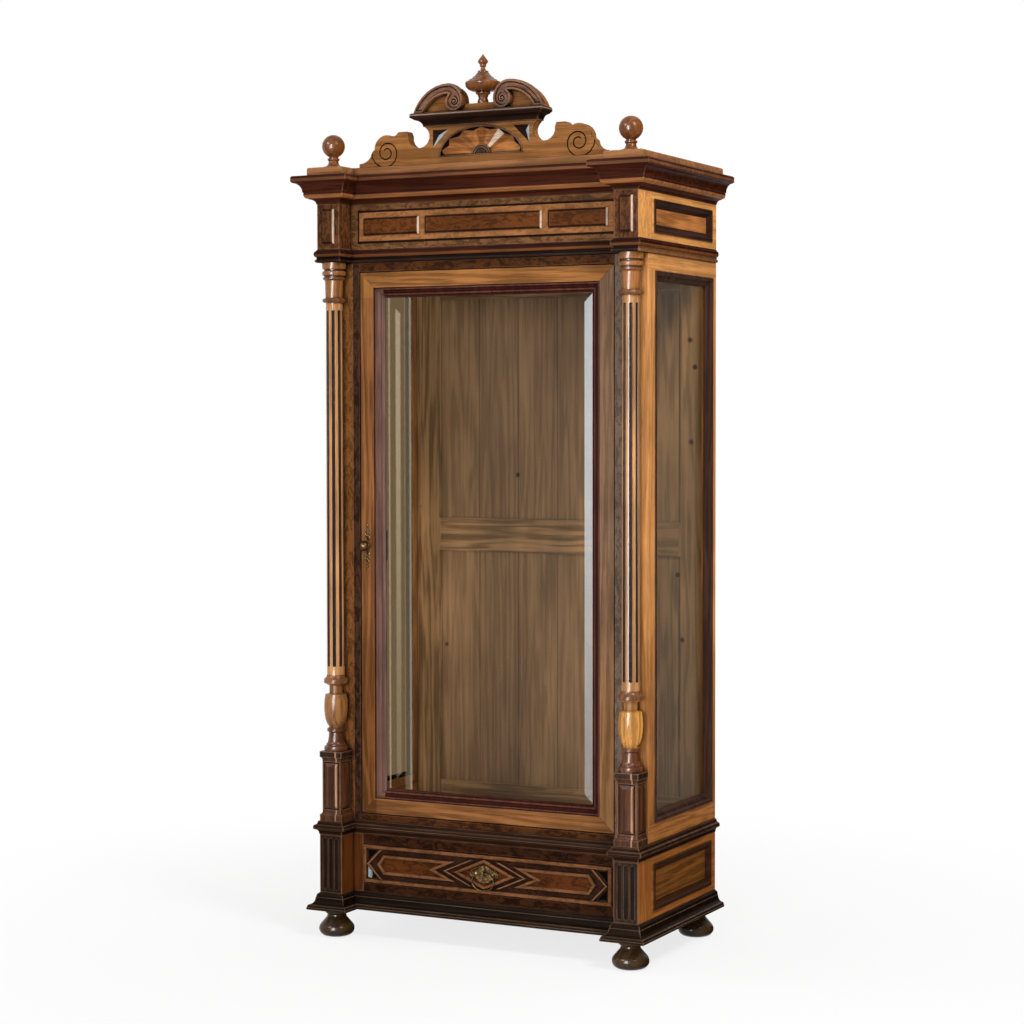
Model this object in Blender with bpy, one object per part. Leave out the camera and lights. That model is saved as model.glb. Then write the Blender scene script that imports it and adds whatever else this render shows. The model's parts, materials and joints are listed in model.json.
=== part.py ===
"""Display armoire with one glazed door, glazed sides, a drawer in the base and a carved crest.

Metres, +Z up. The front faces -Y. The origin is on the floor, under the middle of the
whole object's box. Left and right are those of a person facing the front.
"""
import math

import bmesh
import bpy
from mathutils import Vector

# Fits
GAP = 0.0003
DOOR_CLEARANCE = 0.002
DRAWER_CLEARANCE = 0.0015
SLIDE_CLEARANCE = 0.0004
UNION_DEPTH = 0.001
WELD = 0.000001

# Case in plan: two corner blocks stand in front of a recessed front
CASE_WIDTH = 1.050
CASE_DEPTH = 0.574
BLOCK_WIDTH = 0.076
BLOCK_PROJECTION = 0.070
SIDE_THICKNESS = 0.028
FRONT_THICKNESS = 0.022
BACK_THICKNESS = 0.018

# Heights of the storeys, from the floor up
FOOT_HEIGHT = 0.082
PLINTH_HEIGHT = 0.051
BASE_HEIGHT = 0.176
WAIST_HEIGHT = 0.041
CASE_HEIGHT = 1.678
NECKING_HEIGHT = 0.039
FRIEZE_HEIGHT = 0.135
CORNICE_HEIGHT = 0.082
TOP_THICKNESS = 0.026

# Overhangs of the mouldings
PLINTH_OVERHANG = 0.031
WAIST_OVERHANG = 0.0155
NECKING_OVERHANG = 0.0085
CORNICE_OVERHANG = 0.058
TOP_OVERHANG = 0.022
TOP_EDGE_ROUND = 0.003

# Feet and ball finials
FOOT_RADIUS = 0.054
FOOT_NECK_RADIUS = 0.030
BACK_FOOT_INSET = 0.060
BALL_RADIUS = 0.0345
BALL_NECK_RADIUS = 0.0145
BALL_BASE_RADIUS = 0.030
BALL_NECK_HEIGHT = 0.034

# Columns on pedestals
PEDESTAL_HEIGHT = 0.211
PEDESTAL_LEDGE = 0.006
PEDESTAL_CAP_HEIGHT = 0.018
PEDESTAL_FOOT_HEIGHT = 0.020
PEDESTAL_COVE_HEIGHT = 0.009
PEDESTAL_PANEL_MARGIN = 0.006
PEDESTAL_CHANNEL_WIDTH = 0.003
PEDESTAL_CHANNEL_DEPTH = 0.005
PEDESTAL_FIELD_RISE = 0.009
PEDESTAL_FIELD_BEVEL = 0.010
COLUMN_RING_RADIUS = 0.036
COLUMN_SHAFT_RADIUS = 0.0258
COLUMN_NECK_RADIUS = 0.0275
VASE_RADIUS = 0.0355
VASE_STEM_RADIUS = 0.0195
VASE_HEIGHT = 0.233
CAPITAL_HEIGHT = 0.120
CAPITAL_RINGS = (
    (0.86, 0.575),
    (0.94, 0.60),
    (0.94, 0.63),
    (0.83, 0.65),
    (0.83, 0.67),
    (0.96, 0.69),
    (1.00, 0.735),
    (0.96, 0.785),
    (0.83, 0.805),
    (0.83, 0.835),
    (0.97, 0.85),
)
FLUTE_COUNT = 8
FLUTE_RADIUS = 0.0044
FLUTE_END_SPACE = 0.022
FLUTE_SIDES = 10
FLUTE_END_STEPS = 2

# Fluted corner blocks of the base
BLOCK_FLUTE_COUNT = 3
BLOCK_FLUTE_RADIUS = 0.0065
BLOCK_FLUTE_SPACING = 0.020
BLOCK_FLUTE_MARGIN = 0.010

# Panels of the base sides and frieze sides
SIDE_PANEL_FRONT = 0.015
SIDE_PANEL_BACK = 0.037
SIDE_PANEL_MARGIN = 0.020
SIDE_PANEL_MOULDING = 0.026
SIDE_PANEL_RISE = 0.004
SIDE_PANEL_SINK = 0.009

# Glazed side frames
SIDE_STILE_FRONT = 0.045
SIDE_STILE_BACK = 0.030
SIDE_RAIL_TOP = 0.047
SIDE_RAIL_BOTTOM = 0.055
SIDE_GLAZING_WIDTH = 0.028
SIDE_GLASS_DEPTH = 0.018
SIDE_GLASS_REBATE = 0.012
GLASS_THICKNESS = 0.005

# Front posts, rails and door
FRONT_POST_WIDTH = 0.1045
FRONT_POST_DEPTH = 0.056
SILL_HEIGHT = 0.020
HEAD_HEIGHT = 0.027
RAIL_DEPTH = 0.030
DOOR_THICKNESS = 0.032
DOOR_FRAME_WIDTH = 0.046
DOOR_EDGE_ROUND = 0.002
DOOR_MOULDING_WIDTH = 0.030
DOOR_MOULDING_RECESS = 0.003
DOOR_GLASS_DEPTH = 0.022
DOOR_GLASS_LIP = 0.016
BEVEL_WIDTH = 0.028
BEVEL_DEPTH = 0.002
PIVOT_EDGE = 0.016
PIVOT_DEPTH = 0.007
PIVOT_RADIUS = 0.003
PIVOT_LENGTH = 0.010

# Lock and door knob
LOCK_HEIGHT = 1.180
LOCK_WIDTH = 0.060
LOCK_TALL = 0.090
LOCK_DEPTH = 0.018
LOCK_SETBACK = 0.003
BOLT_LENGTH = 0.046
BOLT_TALL = 0.014
BOLT_DEPTH = 0.008
BOLT_RISE = 0.020
KEEPER_DEPTH = 0.014
KNOB_RADIUS = 0.0155
KNOB_NECK_RADIUS = 0.0055
KNOB_ROSE_RADIUS = 0.010
KNOB_NECK_LENGTH = 0.013
SPINDLE_RADIUS = 0.0036
SPINDLE_REACH = 0.010

# Back panel with its middle rail
BACK_STILE = 0.080
BACK_RELIEF = 0.006
BACK_RAIL_TOP = 0.090
BACK_RAIL_BOTTOM = 0.058
BACK_MIDDLE_HEIGHT = 0.105
BACK_MIDDLE_LEVEL = 0.792

# Frieze
FRIEZE_FRAME_WIDTH = 0.420
FRIEZE_FRAME_BAND = 0.018
FRIEZE_FRAME_HEIGHT = 0.088
FRIEZE_FRAME_RISE = 0.004
FRIEZE_DIVIDER = 0.019
FRIEZE_TABLET_RISE = 0.007
FRIEZE_CENTRE_HALF = 0.193
TABLET_BEVEL = 0.007
BLOCK_TABLET_MARGIN = 0.016

# Drawer and its pull
DRAWER_STILE = 0.0345
DRAWER_RAIL_TOP = 0.0305
DRAWER_RAIL_BOTTOM = 0.0270
DRAWER_BACK_SPACE = 0.036
DRAWER_WALL = 0.014
DRAWER_SIDE_INSET = 0.008
DRAWER_SIDE_DROP = 0.014
DRAWER_SIDE_RISE = 0.003
DRAWER_BOTTOM_THICKNESS = 0.008
DRAWER_BOTTOM_RISE = 0.008
RUNNER_WIDTH = 0.034
DRAWER_BEAD = 0.012
DRAWER_BEAD_RISE = 0.006
DRAWER_CORNER_WIDTH = 0.045
DRAWER_CORNER_SINK = 0.008
DRAWER_CORNER_SLOPE = 0.009
DRAWER_END_BAND = 0.010
DRAWER_TABLET_INSET = 0.049
DRAWER_TABLET_POINT = 0.022
DRAWER_TABLET_END = 0.098
DRAWER_TABLET_NOTCH = 0.064
DRAWER_TABLET_HALF_HEIGHT = 0.030
DRAWER_FIELD_RISE = 0.008
DRAWER_FIELD_SINK = 0.005
DRAWER_FIELD_BAND = 0.011
DIAMOND_HALF_WIDTH = 0.103
CHEVRON_SPACE = 0.037
CHEVRON_BAND = 0.014
CHEVRON_RISE = 0.005
CHEVRON_BEVEL = 0.0015
PULL_PLATE_WIDTH = 0.098
PULL_PLATE_HEIGHT = 0.054
PULL_PLATE_LOBES = 0.16
PULL_PLATE_THICKNESS = 0.0025
PULL_EYE_WIDTH = 0.009
PULL_EYE_HEIGHT = 0.012
PULL_EYE_LENGTH = 0.014
PULL_EYE_RISE = 0.005
PULL_EYE_HOLE = 0.0031
RING_HALF_WIDTH = 0.036
RING_HALF_HEIGHT = 0.026
RING_WIRE = 0.0022

# Cornice frame behind the moulding
CORNICE_FRONT_RAIL = 0.030

# Crest, measured from its foot on the top board
CREST_THICKNESS = 0.034
CREST_SETBACK = 0.004
CREST_HALF_WIDTH = 0.408
CREST_END_HEIGHT = 0.010
SHOULDER_X = 0.366
SHOULDER_Z = 0.042
HUMP_X = 0.3148
HUMP_Z = 0.050
HUMP_RADIUS = 0.0415
STEP_INNER_X = 0.2455
STEP_OUTER_X = 0.274
STEP_Z = 0.098
STEP_DROP = 0.009
NOTCH_X = 0.205
NOTCH_Z = 0.080
NOTCH_HALF_WIDTH = 0.036
NOTCH_HALF_HEIGHT = 0.033
WING_SPIRAL_RADIUS = 0.053
WING_SPIRAL_START = 10
WING_SPIRAL_TURNS = -1.9
WING_SPIRAL_Z = 0.039
CREST_NECK_HALF = 0.184
SHELF_HEIGHT = 0.037
SHELF_LEVEL = 0.108
SHELF_OVERHANG = 0.0325
SHELF_PROJECTION = 0.037
SHELF_LEDGE = 0.004
ARCH_SETBACK = 0.001
ARCH_TOP_X = 0.100
ARCH_RISE = 0.0834
ARCH_BAND = 0.032
ARCH_DEPTH = 0.020
ARCH_FILLET = 0.007
ARCH_FILLET_STEP = 0.005
ARCH_MARGIN = 0.006
SCROLL_X = 0.0785
SCROLL_Z = 0.030
SCROLL_RADIUS = 0.030
SCROLL_GROOVE_RADIUS = 0.0150
SADDLE_HEIGHT = 0.022
SCROLL_GROOVE_START = 90
SCROLL_GROOVE_TURNS = 1.6
SPIRAL_EYE = 0.22
SPIRAL_STEPS = 28
GROOVE_WIDTH = 0.0045
GROOVE_DEPTH = 0.0035
LUNETTE_HALF_WIDTH = 0.139
LUNETTE_HEIGHT = 0.087
LUNETTE_Z = 0.0180
LUNETTE_SINK = 0.012
FAN_PETALS = 7
FAN_MARGIN = 0.006
FAN_BACK = 0.003
FAN_RISE = 0.010
FAN_SCALLOP = 0.90
FAN_HUB = 0.017
FAN_EYE = 0.09
SPANDREL_SINK = 0.009
SPANDREL_SLOPE = 0.015
SPANDREL_OUTER_X = 0.159
SPANDREL_INNER_X = 0.104
SPANDREL_TOP = 0.0985
SPANDREL_BOTTOM = 0.044

# Finial on the crest, from its foot up
FINIAL_FOOT_RADIUS = 0.0163
FINIAL_STEM_HEIGHT = 0.027
FINIAL_DOME_RADIUS = 0.053
FINIAL_DOME_LEVEL = 0.057
FINIAL_DOME_HEIGHT = 0.036
FINIAL_LID = (
    (0.97, 0.12),
    (0.81, 0.24),
    (0.79, 0.29),
    (0.61, 0.42),
    (0.59, 0.48),
    (0.43, 0.66),
    (0.41, 0.72),
    (0.31, 0.88),
)
FINIAL_NECK_RADIUS = 0.0066
FINIAL_BULB_RADIUS = 0.0150
FINIAL_NECK_HEIGHT = 0.018
FINIAL_BULB_HEIGHT = 0.032

# Smoothness of curves
TURNED_SIDES = 20
SMALL_SIDES = 12
CURVE_STEPS = 4
ARC_STEPS = 8
SMOOTH_ANGLE = math.radians(35)

# Places worked out from the sizes above
HALF = CASE_WIDTH / 2
BACK_Y = (CASE_DEPTH + CORNICE_OVERHANG) / 2
BLOCK_Y = BACK_Y - CASE_DEPTH
FRONT_Y = BLOCK_Y + BLOCK_PROJECTION
BLOCK_X = HALF - BLOCK_WIDTH / 2
BLOCK_INNER = HALF - BLOCK_WIDTH
COLUMN_Y = FRONT_Y - COLUMN_RING_RADIUS - GAP
INNER_HALF = HALF - SIDE_THICKNESS
BACK_FRONT_Y = BACK_Y - BACK_THICKNESS
BACK_NOTCH = (INNER_HALF, BACK_FRONT_Y - GAP)

PLINTH_Z = FOOT_HEIGHT
BASE_Z = PLINTH_Z + PLINTH_HEIGHT
WAIST_Z = BASE_Z + BASE_HEIGHT
CASE_Z = WAIST_Z + WAIST_HEIGHT
NECKING_Z = CASE_Z + CASE_HEIGHT
FRIEZE_Z = NECKING_Z + NECKING_HEIGHT
CORNICE_Z = FRIEZE_Z + FRIEZE_HEIGHT
TOP_Z = CORNICE_Z + CORNICE_HEIGHT
CREST_Z = TOP_Z + TOP_THICKNESS

OPENING_HALF = HALF - FRONT_POST_WIDTH
DOOR_HALF = OPENING_HALF - DOOR_CLEARANCE
SILL_TOP = CASE_Z + SILL_HEIGHT
HEAD_BOTTOM = NECKING_Z - HEAD_HEIGHT
DOOR_Z0 = SILL_TOP + DOOR_CLEARANCE
DOOR_Z1 = HEAD_BOTTOM - DOOR_CLEARANCE
DOOR_BACK_Y = FRONT_Y + DOOR_THICKNESS
HINGE = Vector((DOOR_HALF - PIVOT_EDGE, FRONT_Y + PIVOT_DEPTH, DOOR_Z0))
KNOB = Vector((-DOOR_HALF + DOOR_FRAME_WIDTH / 2, FRONT_Y - GAP, LOCK_HEIGHT))
LOCK_LEFT = -DOOR_HALF + LOCK_SETBACK
BOLT_MIDDLE_Y = DOOR_BACK_Y + GAP + LOCK_DEPTH / 2
BOLT_Z = LOCK_HEIGHT + BOLT_RISE

DRAWER_OPENING = BLOCK_INNER - DRAWER_STILE
DRAWER_HALF = DRAWER_OPENING - DRAWER_CLEARANCE
DRAWER_Z0 = BASE_Z + DRAWER_RAIL_BOTTOM + DRAWER_CLEARANCE
DRAWER_Z1 = WAIST_Z - DRAWER_RAIL_TOP - DRAWER_CLEARANCE
DRAWER_MIDDLE = (DRAWER_Z0 + DRAWER_Z1) / 2
DIAMOND_HALF_HEIGHT = (DRAWER_Z1 - DRAWER_Z0) / 2 - DRAWER_BEAD - GAP
DRAWER_SIDE_HALF = DRAWER_HALF - DRAWER_SIDE_INSET
DRAWER_SIDE_Z0 = DRAWER_Z0 + DRAWER_SIDE_RISE
DRAWER_SIDE_Z1 = DRAWER_Z1 - DRAWER_SIDE_DROP
DRAWER_BODY_Y = FRONT_Y + FRONT_THICKNESS + GAP
DRAWER_END_Y = BACK_FRONT_Y - DRAWER_BACK_SPACE
PULL_FACE_Y = FRONT_Y - DRAWER_FIELD_RISE + DRAWER_FIELD_SINK - GAP
PULL_EYE_Y = PULL_FACE_Y - PULL_PLATE_THICKNESS - PULL_EYE_LENGTH / 2
PULL_EYE_Z = DRAWER_MIDDLE + PULL_EYE_RISE

CREST_FRONT_Y = FRONT_Y - TOP_OVERHANG + CREST_SETBACK
CREST_MIDDLE_Y = CREST_FRONT_Y + CREST_THICKNESS / 2
SHELF_Z = CREST_Z + SHELF_LEVEL
ARCH_Z = SHELF_Z + SHELF_HEIGHT
ARCH_TIP_X = CREST_NECK_HALF + SHELF_OVERHANG - ARCH_SETBACK
ARCH_RADIUS = ((ARCH_TIP_X - ARCH_TOP_X) ** 2 + ARCH_RISE ** 2) / (2 * ARCH_RISE)

FINISHES = {
    "light_walnut": ((0.43, 0.20, 0.065), 0.34, 0.0),
    "golden_walnut": ((0.50, 0.23, 0.060), 0.36, 0.0),
    "walnut": ((0.20, 0.085, 0.030), 0.32, 0.0),
    "burl": ((0.13, 0.060, 0.022), 0.34, 0.0),
    "ebonised": ((0.030, 0.020, 0.015), 0.36, 0.0),
    "mahogany": ((0.085, 0.020, 0.014), 0.28, 0.0),
    "pine": ((0.30, 0.19, 0.10), 0.60, 0.0),
    "glass": ((0.80, 0.84, 0.80), 0.04, 0.0),
    "brass": ((0.36, 0.24, 0.09), 0.35, 1.0),
    "iron": ((0.10, 0.09, 0.085), 0.50, 1.0),
}

# Moulding profiles from the foot up: a shape, then shares of the overhang and of the height.
# A hollow leaves along the height and a round along the overhang, so going inwards they swap looks.
PLINTH_PROFILE = (
    ("line", 0.94, 0.0),
    ("line", 1.0, 0.03),
    ("line", 1.0, 0.13),
    ("line", 0.95, 0.15),
    ("hollow", 0.86, 0.28),
    ("line", 0.81, 0.30),
    ("round", 0.34, 0.70),
    ("line", 0.30, 0.73),
    ("hollow", 0.10, 0.95),
    ("line", 0.06, 1.0),
)
WAIST_PROFILE = (
    ("line", 0.10, 0.0),
    ("hollow", 0.62, 0.36),
    ("line", 0.80, 0.39),
    ("round", 1.0, 0.50),
    ("hollow", 0.78, 0.72),
    ("round", 0.30, 0.97),
    ("line", 0.24, 1.0),
)
NECKING_PROFILE = (
    ("line", 0.30, 0.0),
    ("line", 0.72, 0.06),
    ("line", 0.72, 0.20),
    ("line", 0.25, 0.25),
    ("line", 0.25, 0.42),
    ("round", 1.0, 0.62),
    ("hollow", 0.30, 0.90),
    ("line", 0.20, 1.0),
)
CORNICE_PROFILE = (
    ("line", 0.03, 0.0),
    ("hollow", 0.29, 0.17),
    ("line", 0.33, 0.19),
    ("round", 0.52, 0.33),
    ("hollow", 0.50, 0.39),
    ("line", 0.55, 0.42),
    ("hollow", 0.92, 0.75),
    ("line", 1.0, 0.79),
    ("line", 1.0, 0.95),
    ("line", 0.94, 1.0),
)
SHELF_PROFILE = (
    ("line", 0.0, 0.0),
    ("hollow", 0.64, 0.50),
    ("line", 0.74, 0.54),
    ("line", 0.78, 0.60),
    ("round", 1.0, 0.74),
    ("line", 1.0, 0.82),
    ("line", 0.93, 1.0),
)


# Scene and object helpers
def clear_scene():
    for item in list(bpy.data.objects):
        bpy.data.objects.remove(item, do_unlink=True)


def finish(name):
    material = bpy.data.materials.get(name)
    if material:
        return material
    colour, roughness, metallic = FINISHES[name]
    material = bpy.data.materials.new(name)
    material.use_nodes = True
    shader = material.node_tree.nodes["Principled BSDF"]
    shader.inputs["Base Color"].default_value = (*colour, 1.0)
    shader.inputs["Roughness"].default_value = roughness
    shader.inputs["Metallic"].default_value = metallic
    material.diffuse_color = (*colour, 1.0)
    return material


def add_object(name, shape, finish_name, smooth=False, location=(0, 0, 0)):
    bmesh.ops.recalc_face_normals(shape, faces=shape.faces)
    mesh = bpy.data.meshes.new(name)
    shape.to_mesh(mesh)
    shape.free()
    mesh.materials.append(finish(finish_name))
    if smooth:
        mesh.shade_smooth()
        mesh.set_sharp_from_angle(angle=SMOOTH_ANGLE)
    piece = bpy.data.objects.new(name, mesh)
    piece.location = location
    bpy.context.collection.objects.link(piece)
    return piece


def joint_axis(name, place, parent=None):
    axis = bpy.data.objects.new(name, None)
    axis.location = place
    axis.empty_display_size = 0.05
    bpy.context.collection.objects.link(axis)
    if parent:
        attach(axis, parent)
    return axis


def attach(piece, axis):
    bpy.context.view_layer.update()
    piece.parent = axis
    piece.matrix_parent_inverse = axis.matrix_world.inverted()


def combine(target, tool, operation):
    """Join or cut target with tool, then remove the tool."""
    modifier = target.modifiers.new("combine", "BOOLEAN")
    modifier.operation = operation
    modifier.object = tool
    graph = bpy.context.evaluated_depsgraph_get()
    mesh = bpy.data.meshes.new_from_object(target.evaluated_get(graph))
    target.modifiers.clear()
    target.data = mesh
    bpy.data.objects.remove(tool, do_unlink=True)


def cut(target, shape):
    combine(target, add_object("cutter", shape, "iron"), "DIFFERENCE")


def join(target, shape):
    tool = add_object("addition", shape, "iron")
    tool.data.materials.clear()
    combine(target, tool, "UNION")


# Shape helpers
def loft(rings, closed=False):
    """Skin rings of equal point counts, capped at both ends unless the last meets the first."""
    shape = bmesh.new()
    rows = [[shape.verts.new(point) for point in ring] for ring in rings]
    pairs = list(zip(rows, rows[1:]))
    if closed:
        pairs.append((rows[-1], rows[0]))
    count = len(rows[0])
    for lower, upper in pairs:
        for i in range(count):
            j = (i + 1) % count
            shape.faces.new((lower[i], lower[j], upper[j], upper[i]))
    if not closed:
        shape.faces.new(rows[0])
        shape.faces.new(rows[-1])
    return shape


def block(x, y, z):
    """Rectangular solid between the low and high value of each axis."""
    plan = ((x[0], y[0]), (x[1], y[0]), (x[1], y[1]), (x[0], y[1]))
    return loft([[(px, py, level) for px, py in plan] for level in z])


def board(name, x, y, z, finish_name):
    """Rectangular piece whose origin is at its middle."""
    middle = Vector((sum(x) / 2, sum(y) / 2, sum(z) / 2))
    spans = [(low - centre, high - centre) for (low, high), centre in zip((x, y, z), middle)]
    return add_object(name, block(*spans), finish_name, location=middle)


def turned(profile, sides):
    """Solid of revolution about Z of a profile of radius and height that ends on the axis."""
    shape = bmesh.new()
    points = [shape.verts.new((radius, 0, height)) for radius, height in profile]
    edges = [shape.edges.new(pair) for pair in zip(points, points[1:])]
    bmesh.ops.spin(
        shape,
        geom=points + edges,
        cent=(0, 0, 0),
        axis=(0, 0, 1),
        angle=2 * math.pi,
        steps=sides,
        use_merge=True,
    )
    bmesh.ops.remove_doubles(shape, verts=shape.verts, dist=WELD)
    return shape


def rod(radius, start, end, sides=SMALL_SIDES):
    """Round bar between two points."""
    run = Vector(end) - Vector(start)
    shape = turned(((0, 0), (radius, 0), (radius, run.length), (0, run.length)), sides)
    turn = run.to_track_quat("Z", "Y").to_matrix().to_4x4()
    shape.transform(turn)
    bmesh.ops.translate(shape, verts=shape.verts, vec=start)
    return shape


def groove(radius, low, high, place):
    """Upright bar with round ends, the cutter of one flute."""
    angles = arc_angles(0, 90, FLUTE_END_STEPS)
    profile = [(0, low)]
    profile += [(radius * math.sin(t), low + radius * (1 - math.cos(t))) for t in angles[1:]]
    profile += [(radius * math.cos(t), high - radius * (1 - math.sin(t))) for t in angles[:-1]]
    profile += [(0, high)]
    shape = turned(profile, FLUTE_SIDES)
    bmesh.ops.translate(shape, verts=shape.verts, vec=place)
    return shape


def arc_angles(start, end, steps=CURVE_STEPS):
    return [math.radians(start + (end - start) * i / steps) for i in range(steps + 1)]


def arc(centre, radii, start, end, steps=ARC_STEPS):
    """Points of an elliptical arc, in degrees."""
    return [
        (centre[0] + radii[0] * math.cos(t), centre[1] + radii[1] * math.sin(t))
        for t in arc_angles(start, end, steps)
    ]


def quarter(start, end, hollow):
    """Quarter ellipse that leaves start along its second axis if hollow, else along its first."""
    points = []
    for t in arc_angles(0, 90)[1:]:
        first = 1 - math.cos(t) if hollow else math.sin(t)
        second = math.sin(t) if hollow else 1 - math.cos(t)
        points.append((start[0] + (end[0] - start[0]) * first, start[1] + (end[1] - start[1]) * second))
    return points


def moulding(parts, overhang, height):
    """Offsets and heights of a moulding from its parts."""
    profile = []
    for kind, out_share, up_share in parts:
        point = (out_share * overhang, up_share * height)
        if kind == "line":
            profile.append(point)
        else:
            profile += quarter(profile[-1], point, kind == "hollow")
    return profile


def corners(rect):
    u0, u1, v0, v1 = rect
    return ((u0, v0), (u1, v0), (u1, v1), (u0, v1))


def inset(rect, amount):
    u0, u1, v0, v1 = rect
    return (u0 + amount, u1 - amount, v0 + amount, v1 - amount)


def inset_outline(points, amount):
    """Move every side of an outline inwards by the same amount."""
    ring = [Vector(point) for point in points]
    turn = sum(a.x * b.y - b.x * a.y for a, b in zip(ring, ring[1:] + ring[:1]))
    side = 1 if turn > 0 else -1
    result = []
    for before, here, after in zip(ring[-1:] + ring[:-1], ring, ring[1:] + ring[:1]):
        first = (here - before).normalized()
        second = (after - here).normalized()
        normal = Vector((-first.y - second.y, first.x + second.x)) * side
        scale = 1 + first.dot(second)
        result.append(tuple(here + normal * (amount / scale)))
    return result


def front_plane(y):
    """Placing function of a front face at y: across, up and depth into the piece."""
    return lambda u, v, depth: (u, y + depth, v)


def side_plane(x, sign):
    """Placing function of an outer side face at distance x: across, up and depth into the piece."""
    return lambda u, v, depth: (sign * (x - depth), u, v)


def placed(place, outline, depth):
    return [place(u, v, depth) for u, v in outline]


def raised(place, outline, rise, bevel):
    """Field with bevelled edges standing on a face, rooted a little below it."""
    top = inset_outline(outline, bevel)
    return loft([
        placed(place, outline, UNION_DEPTH),
        placed(place, outline, -rise * 0.4),
        placed(place, top, -rise),
    ])


def framed_field(place, outline):
    """Raised band round a lower field, as on the drawer's tablets."""
    steps = (
        (0, UNION_DEPTH),
        (0, -DRAWER_FIELD_RISE * 0.5),
        (DRAWER_FIELD_BAND * 0.2, -DRAWER_FIELD_RISE),
        (DRAWER_FIELD_BAND * 0.7, -DRAWER_FIELD_RISE),
        (DRAWER_FIELD_BAND, -DRAWER_FIELD_RISE + DRAWER_FIELD_SINK),
    )
    return loft([placed(place, inset_outline(outline, margin), depth) for margin, depth in steps])


def pocket(place, outline, sink, slope):
    """Cutter of a hollow with sloping sides."""
    floor = inset_outline(outline, slope)
    rings = ((outline, -2 * UNION_DEPTH), (outline, 0), (floor, sink))
    return loft([placed(place, ring, depth) for ring, depth in rings])


def spiral_groove(place, centre, radius, start, turns, sign):
    """Cutter of a groove of diamond section that winds in to the eye."""
    rings = []
    for i, turn in enumerate(arc_angles(start, start + 360 * turns, SPIRAL_STEPS)):
        reach = radius * SPIRAL_EYE ** (i / SPIRAL_STEPS)
        ring = []
        for out, depth in ((-1, 0), (0, GROOVE_DEPTH), (1, 0), (0, -GROOVE_DEPTH)):
            span = reach + out * GROOVE_WIDTH / 2
            x = centre[0] + sign * span * math.cos(turn)
            ring.append(place(x, centre[1] + span * math.sin(turn), depth))
        rings.append(ring)
    return loft(rings)


def frame_ring(place, loops):
    """Closed frame whose section is given by rectangles at depths."""
    return loft([placed(place, corners(rect), depth) for rect, depth in loops], closed=True)


def frame_member(place, loops, side):
    """One mitred length of such a frame: 0 bottom, 1 right, 2 top, 3 left."""
    ends = ([], [])
    for rect, depth in loops:
        points = [Vector(point) for point in corners(rect)]
        first = points[side]
        last = points[(side + 1) % 4]
        step = (last - first).normalized() * GAP
        ends[0].append(place(*(first + step), depth))
        ends[1].append(place(*(last - step), depth))
    return loft(ends)


# Outline of the case in plan
def case_outline(offset, notch):
    """Breakfront outline grown by offset, with a notch in the back for the back panel."""
    right = [
        (BLOCK_INNER - offset, FRONT_Y - offset),
        (BLOCK_INNER - offset, BLOCK_Y - offset),
        (HALF + offset, BLOCK_Y - offset),
        (HALF + offset, BACK_Y),
    ]
    if notch:
        right += [(notch[0], BACK_Y), notch]
    return right + [(-x, y) for x, y in reversed(right)]


def moulded_board(name, profile, z, finish_name, notch):
    rings = [[(x, y, z + up) for x, y in case_outline(out, notch)] for out, up in profile]
    return add_object(name, loft(rings), finish_name)


# Feet, plinth and base
def make_feet():
    top = FOOT_HEIGHT - GAP
    neck = FOOT_HEIGHT * 0.70
    belly = (FOOT_RADIUS * 0.60, FOOT_HEIGHT * 0.27)
    profile = [(0, 0), (FOOT_RADIUS * 0.58, 0)]
    profile += arc(belly, (FOOT_RADIUS - belly[0], FOOT_HEIGHT * 0.26), -62, 40, 6)
    profile += [
        (FOOT_NECK_RADIUS, neck),
        (FOOT_NECK_RADIUS * 0.94, neck + FOOT_HEIGHT * 0.10),
        (FOOT_NECK_RADIUS * 1.15, neck + FOOT_HEIGHT * 0.16),
        (FOOT_NECK_RADIUS * 1.20, top),
        (0, top),
    ]
    for row, y in (("front", COLUMN_Y), ("back", BACK_Y - BACK_FOOT_INSET)):
        for side, sign in (("left", -1), ("right", 1)):
            shape = turned(profile, TURNED_SIDES)
            place = (sign * BLOCK_X, y, 0)
            add_object(f"foot_{row}_{side}", shape, "ebonised", True, place)


def make_plinth():
    profile = moulding(PLINTH_PROFILE, PLINTH_OVERHANG, PLINTH_HEIGHT - GAP)
    moulded_board("plinth", profile, PLINTH_Z, "ebonised", None)


def make_base_post(name, sign):
    """Corner block with a fluted face and a tongue beside the drawer."""
    outline = [
        (HALF, BLOCK_Y),
        (HALF, FRONT_Y + FRONT_THICKNESS),
        (DRAWER_OPENING, FRONT_Y + FRONT_THICKNESS),
        (DRAWER_OPENING, FRONT_Y),
        (BLOCK_INNER, FRONT_Y),
        (BLOCK_INNER, BLOCK_Y),
    ]
    levels = (BASE_Z, WAIST_Z - GAP)
    shape = loft([[(sign * x, y, level) for x, y in outline] for level in levels])
    post = add_object(name, shape, "ebonised")
    for i in range(BLOCK_FLUTE_COUNT):
        shift = (i - (BLOCK_FLUTE_COUNT - 1) / 2) * BLOCK_FLUTE_SPACING
        place = (sign * BLOCK_X + shift, BLOCK_Y, 0)
        low = BASE_Z + BLOCK_FLUTE_MARGIN
        high = WAIST_Z - BLOCK_FLUTE_MARGIN
        cut(post, groove(BLOCK_FLUTE_RADIUS, low, high, place))


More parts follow.
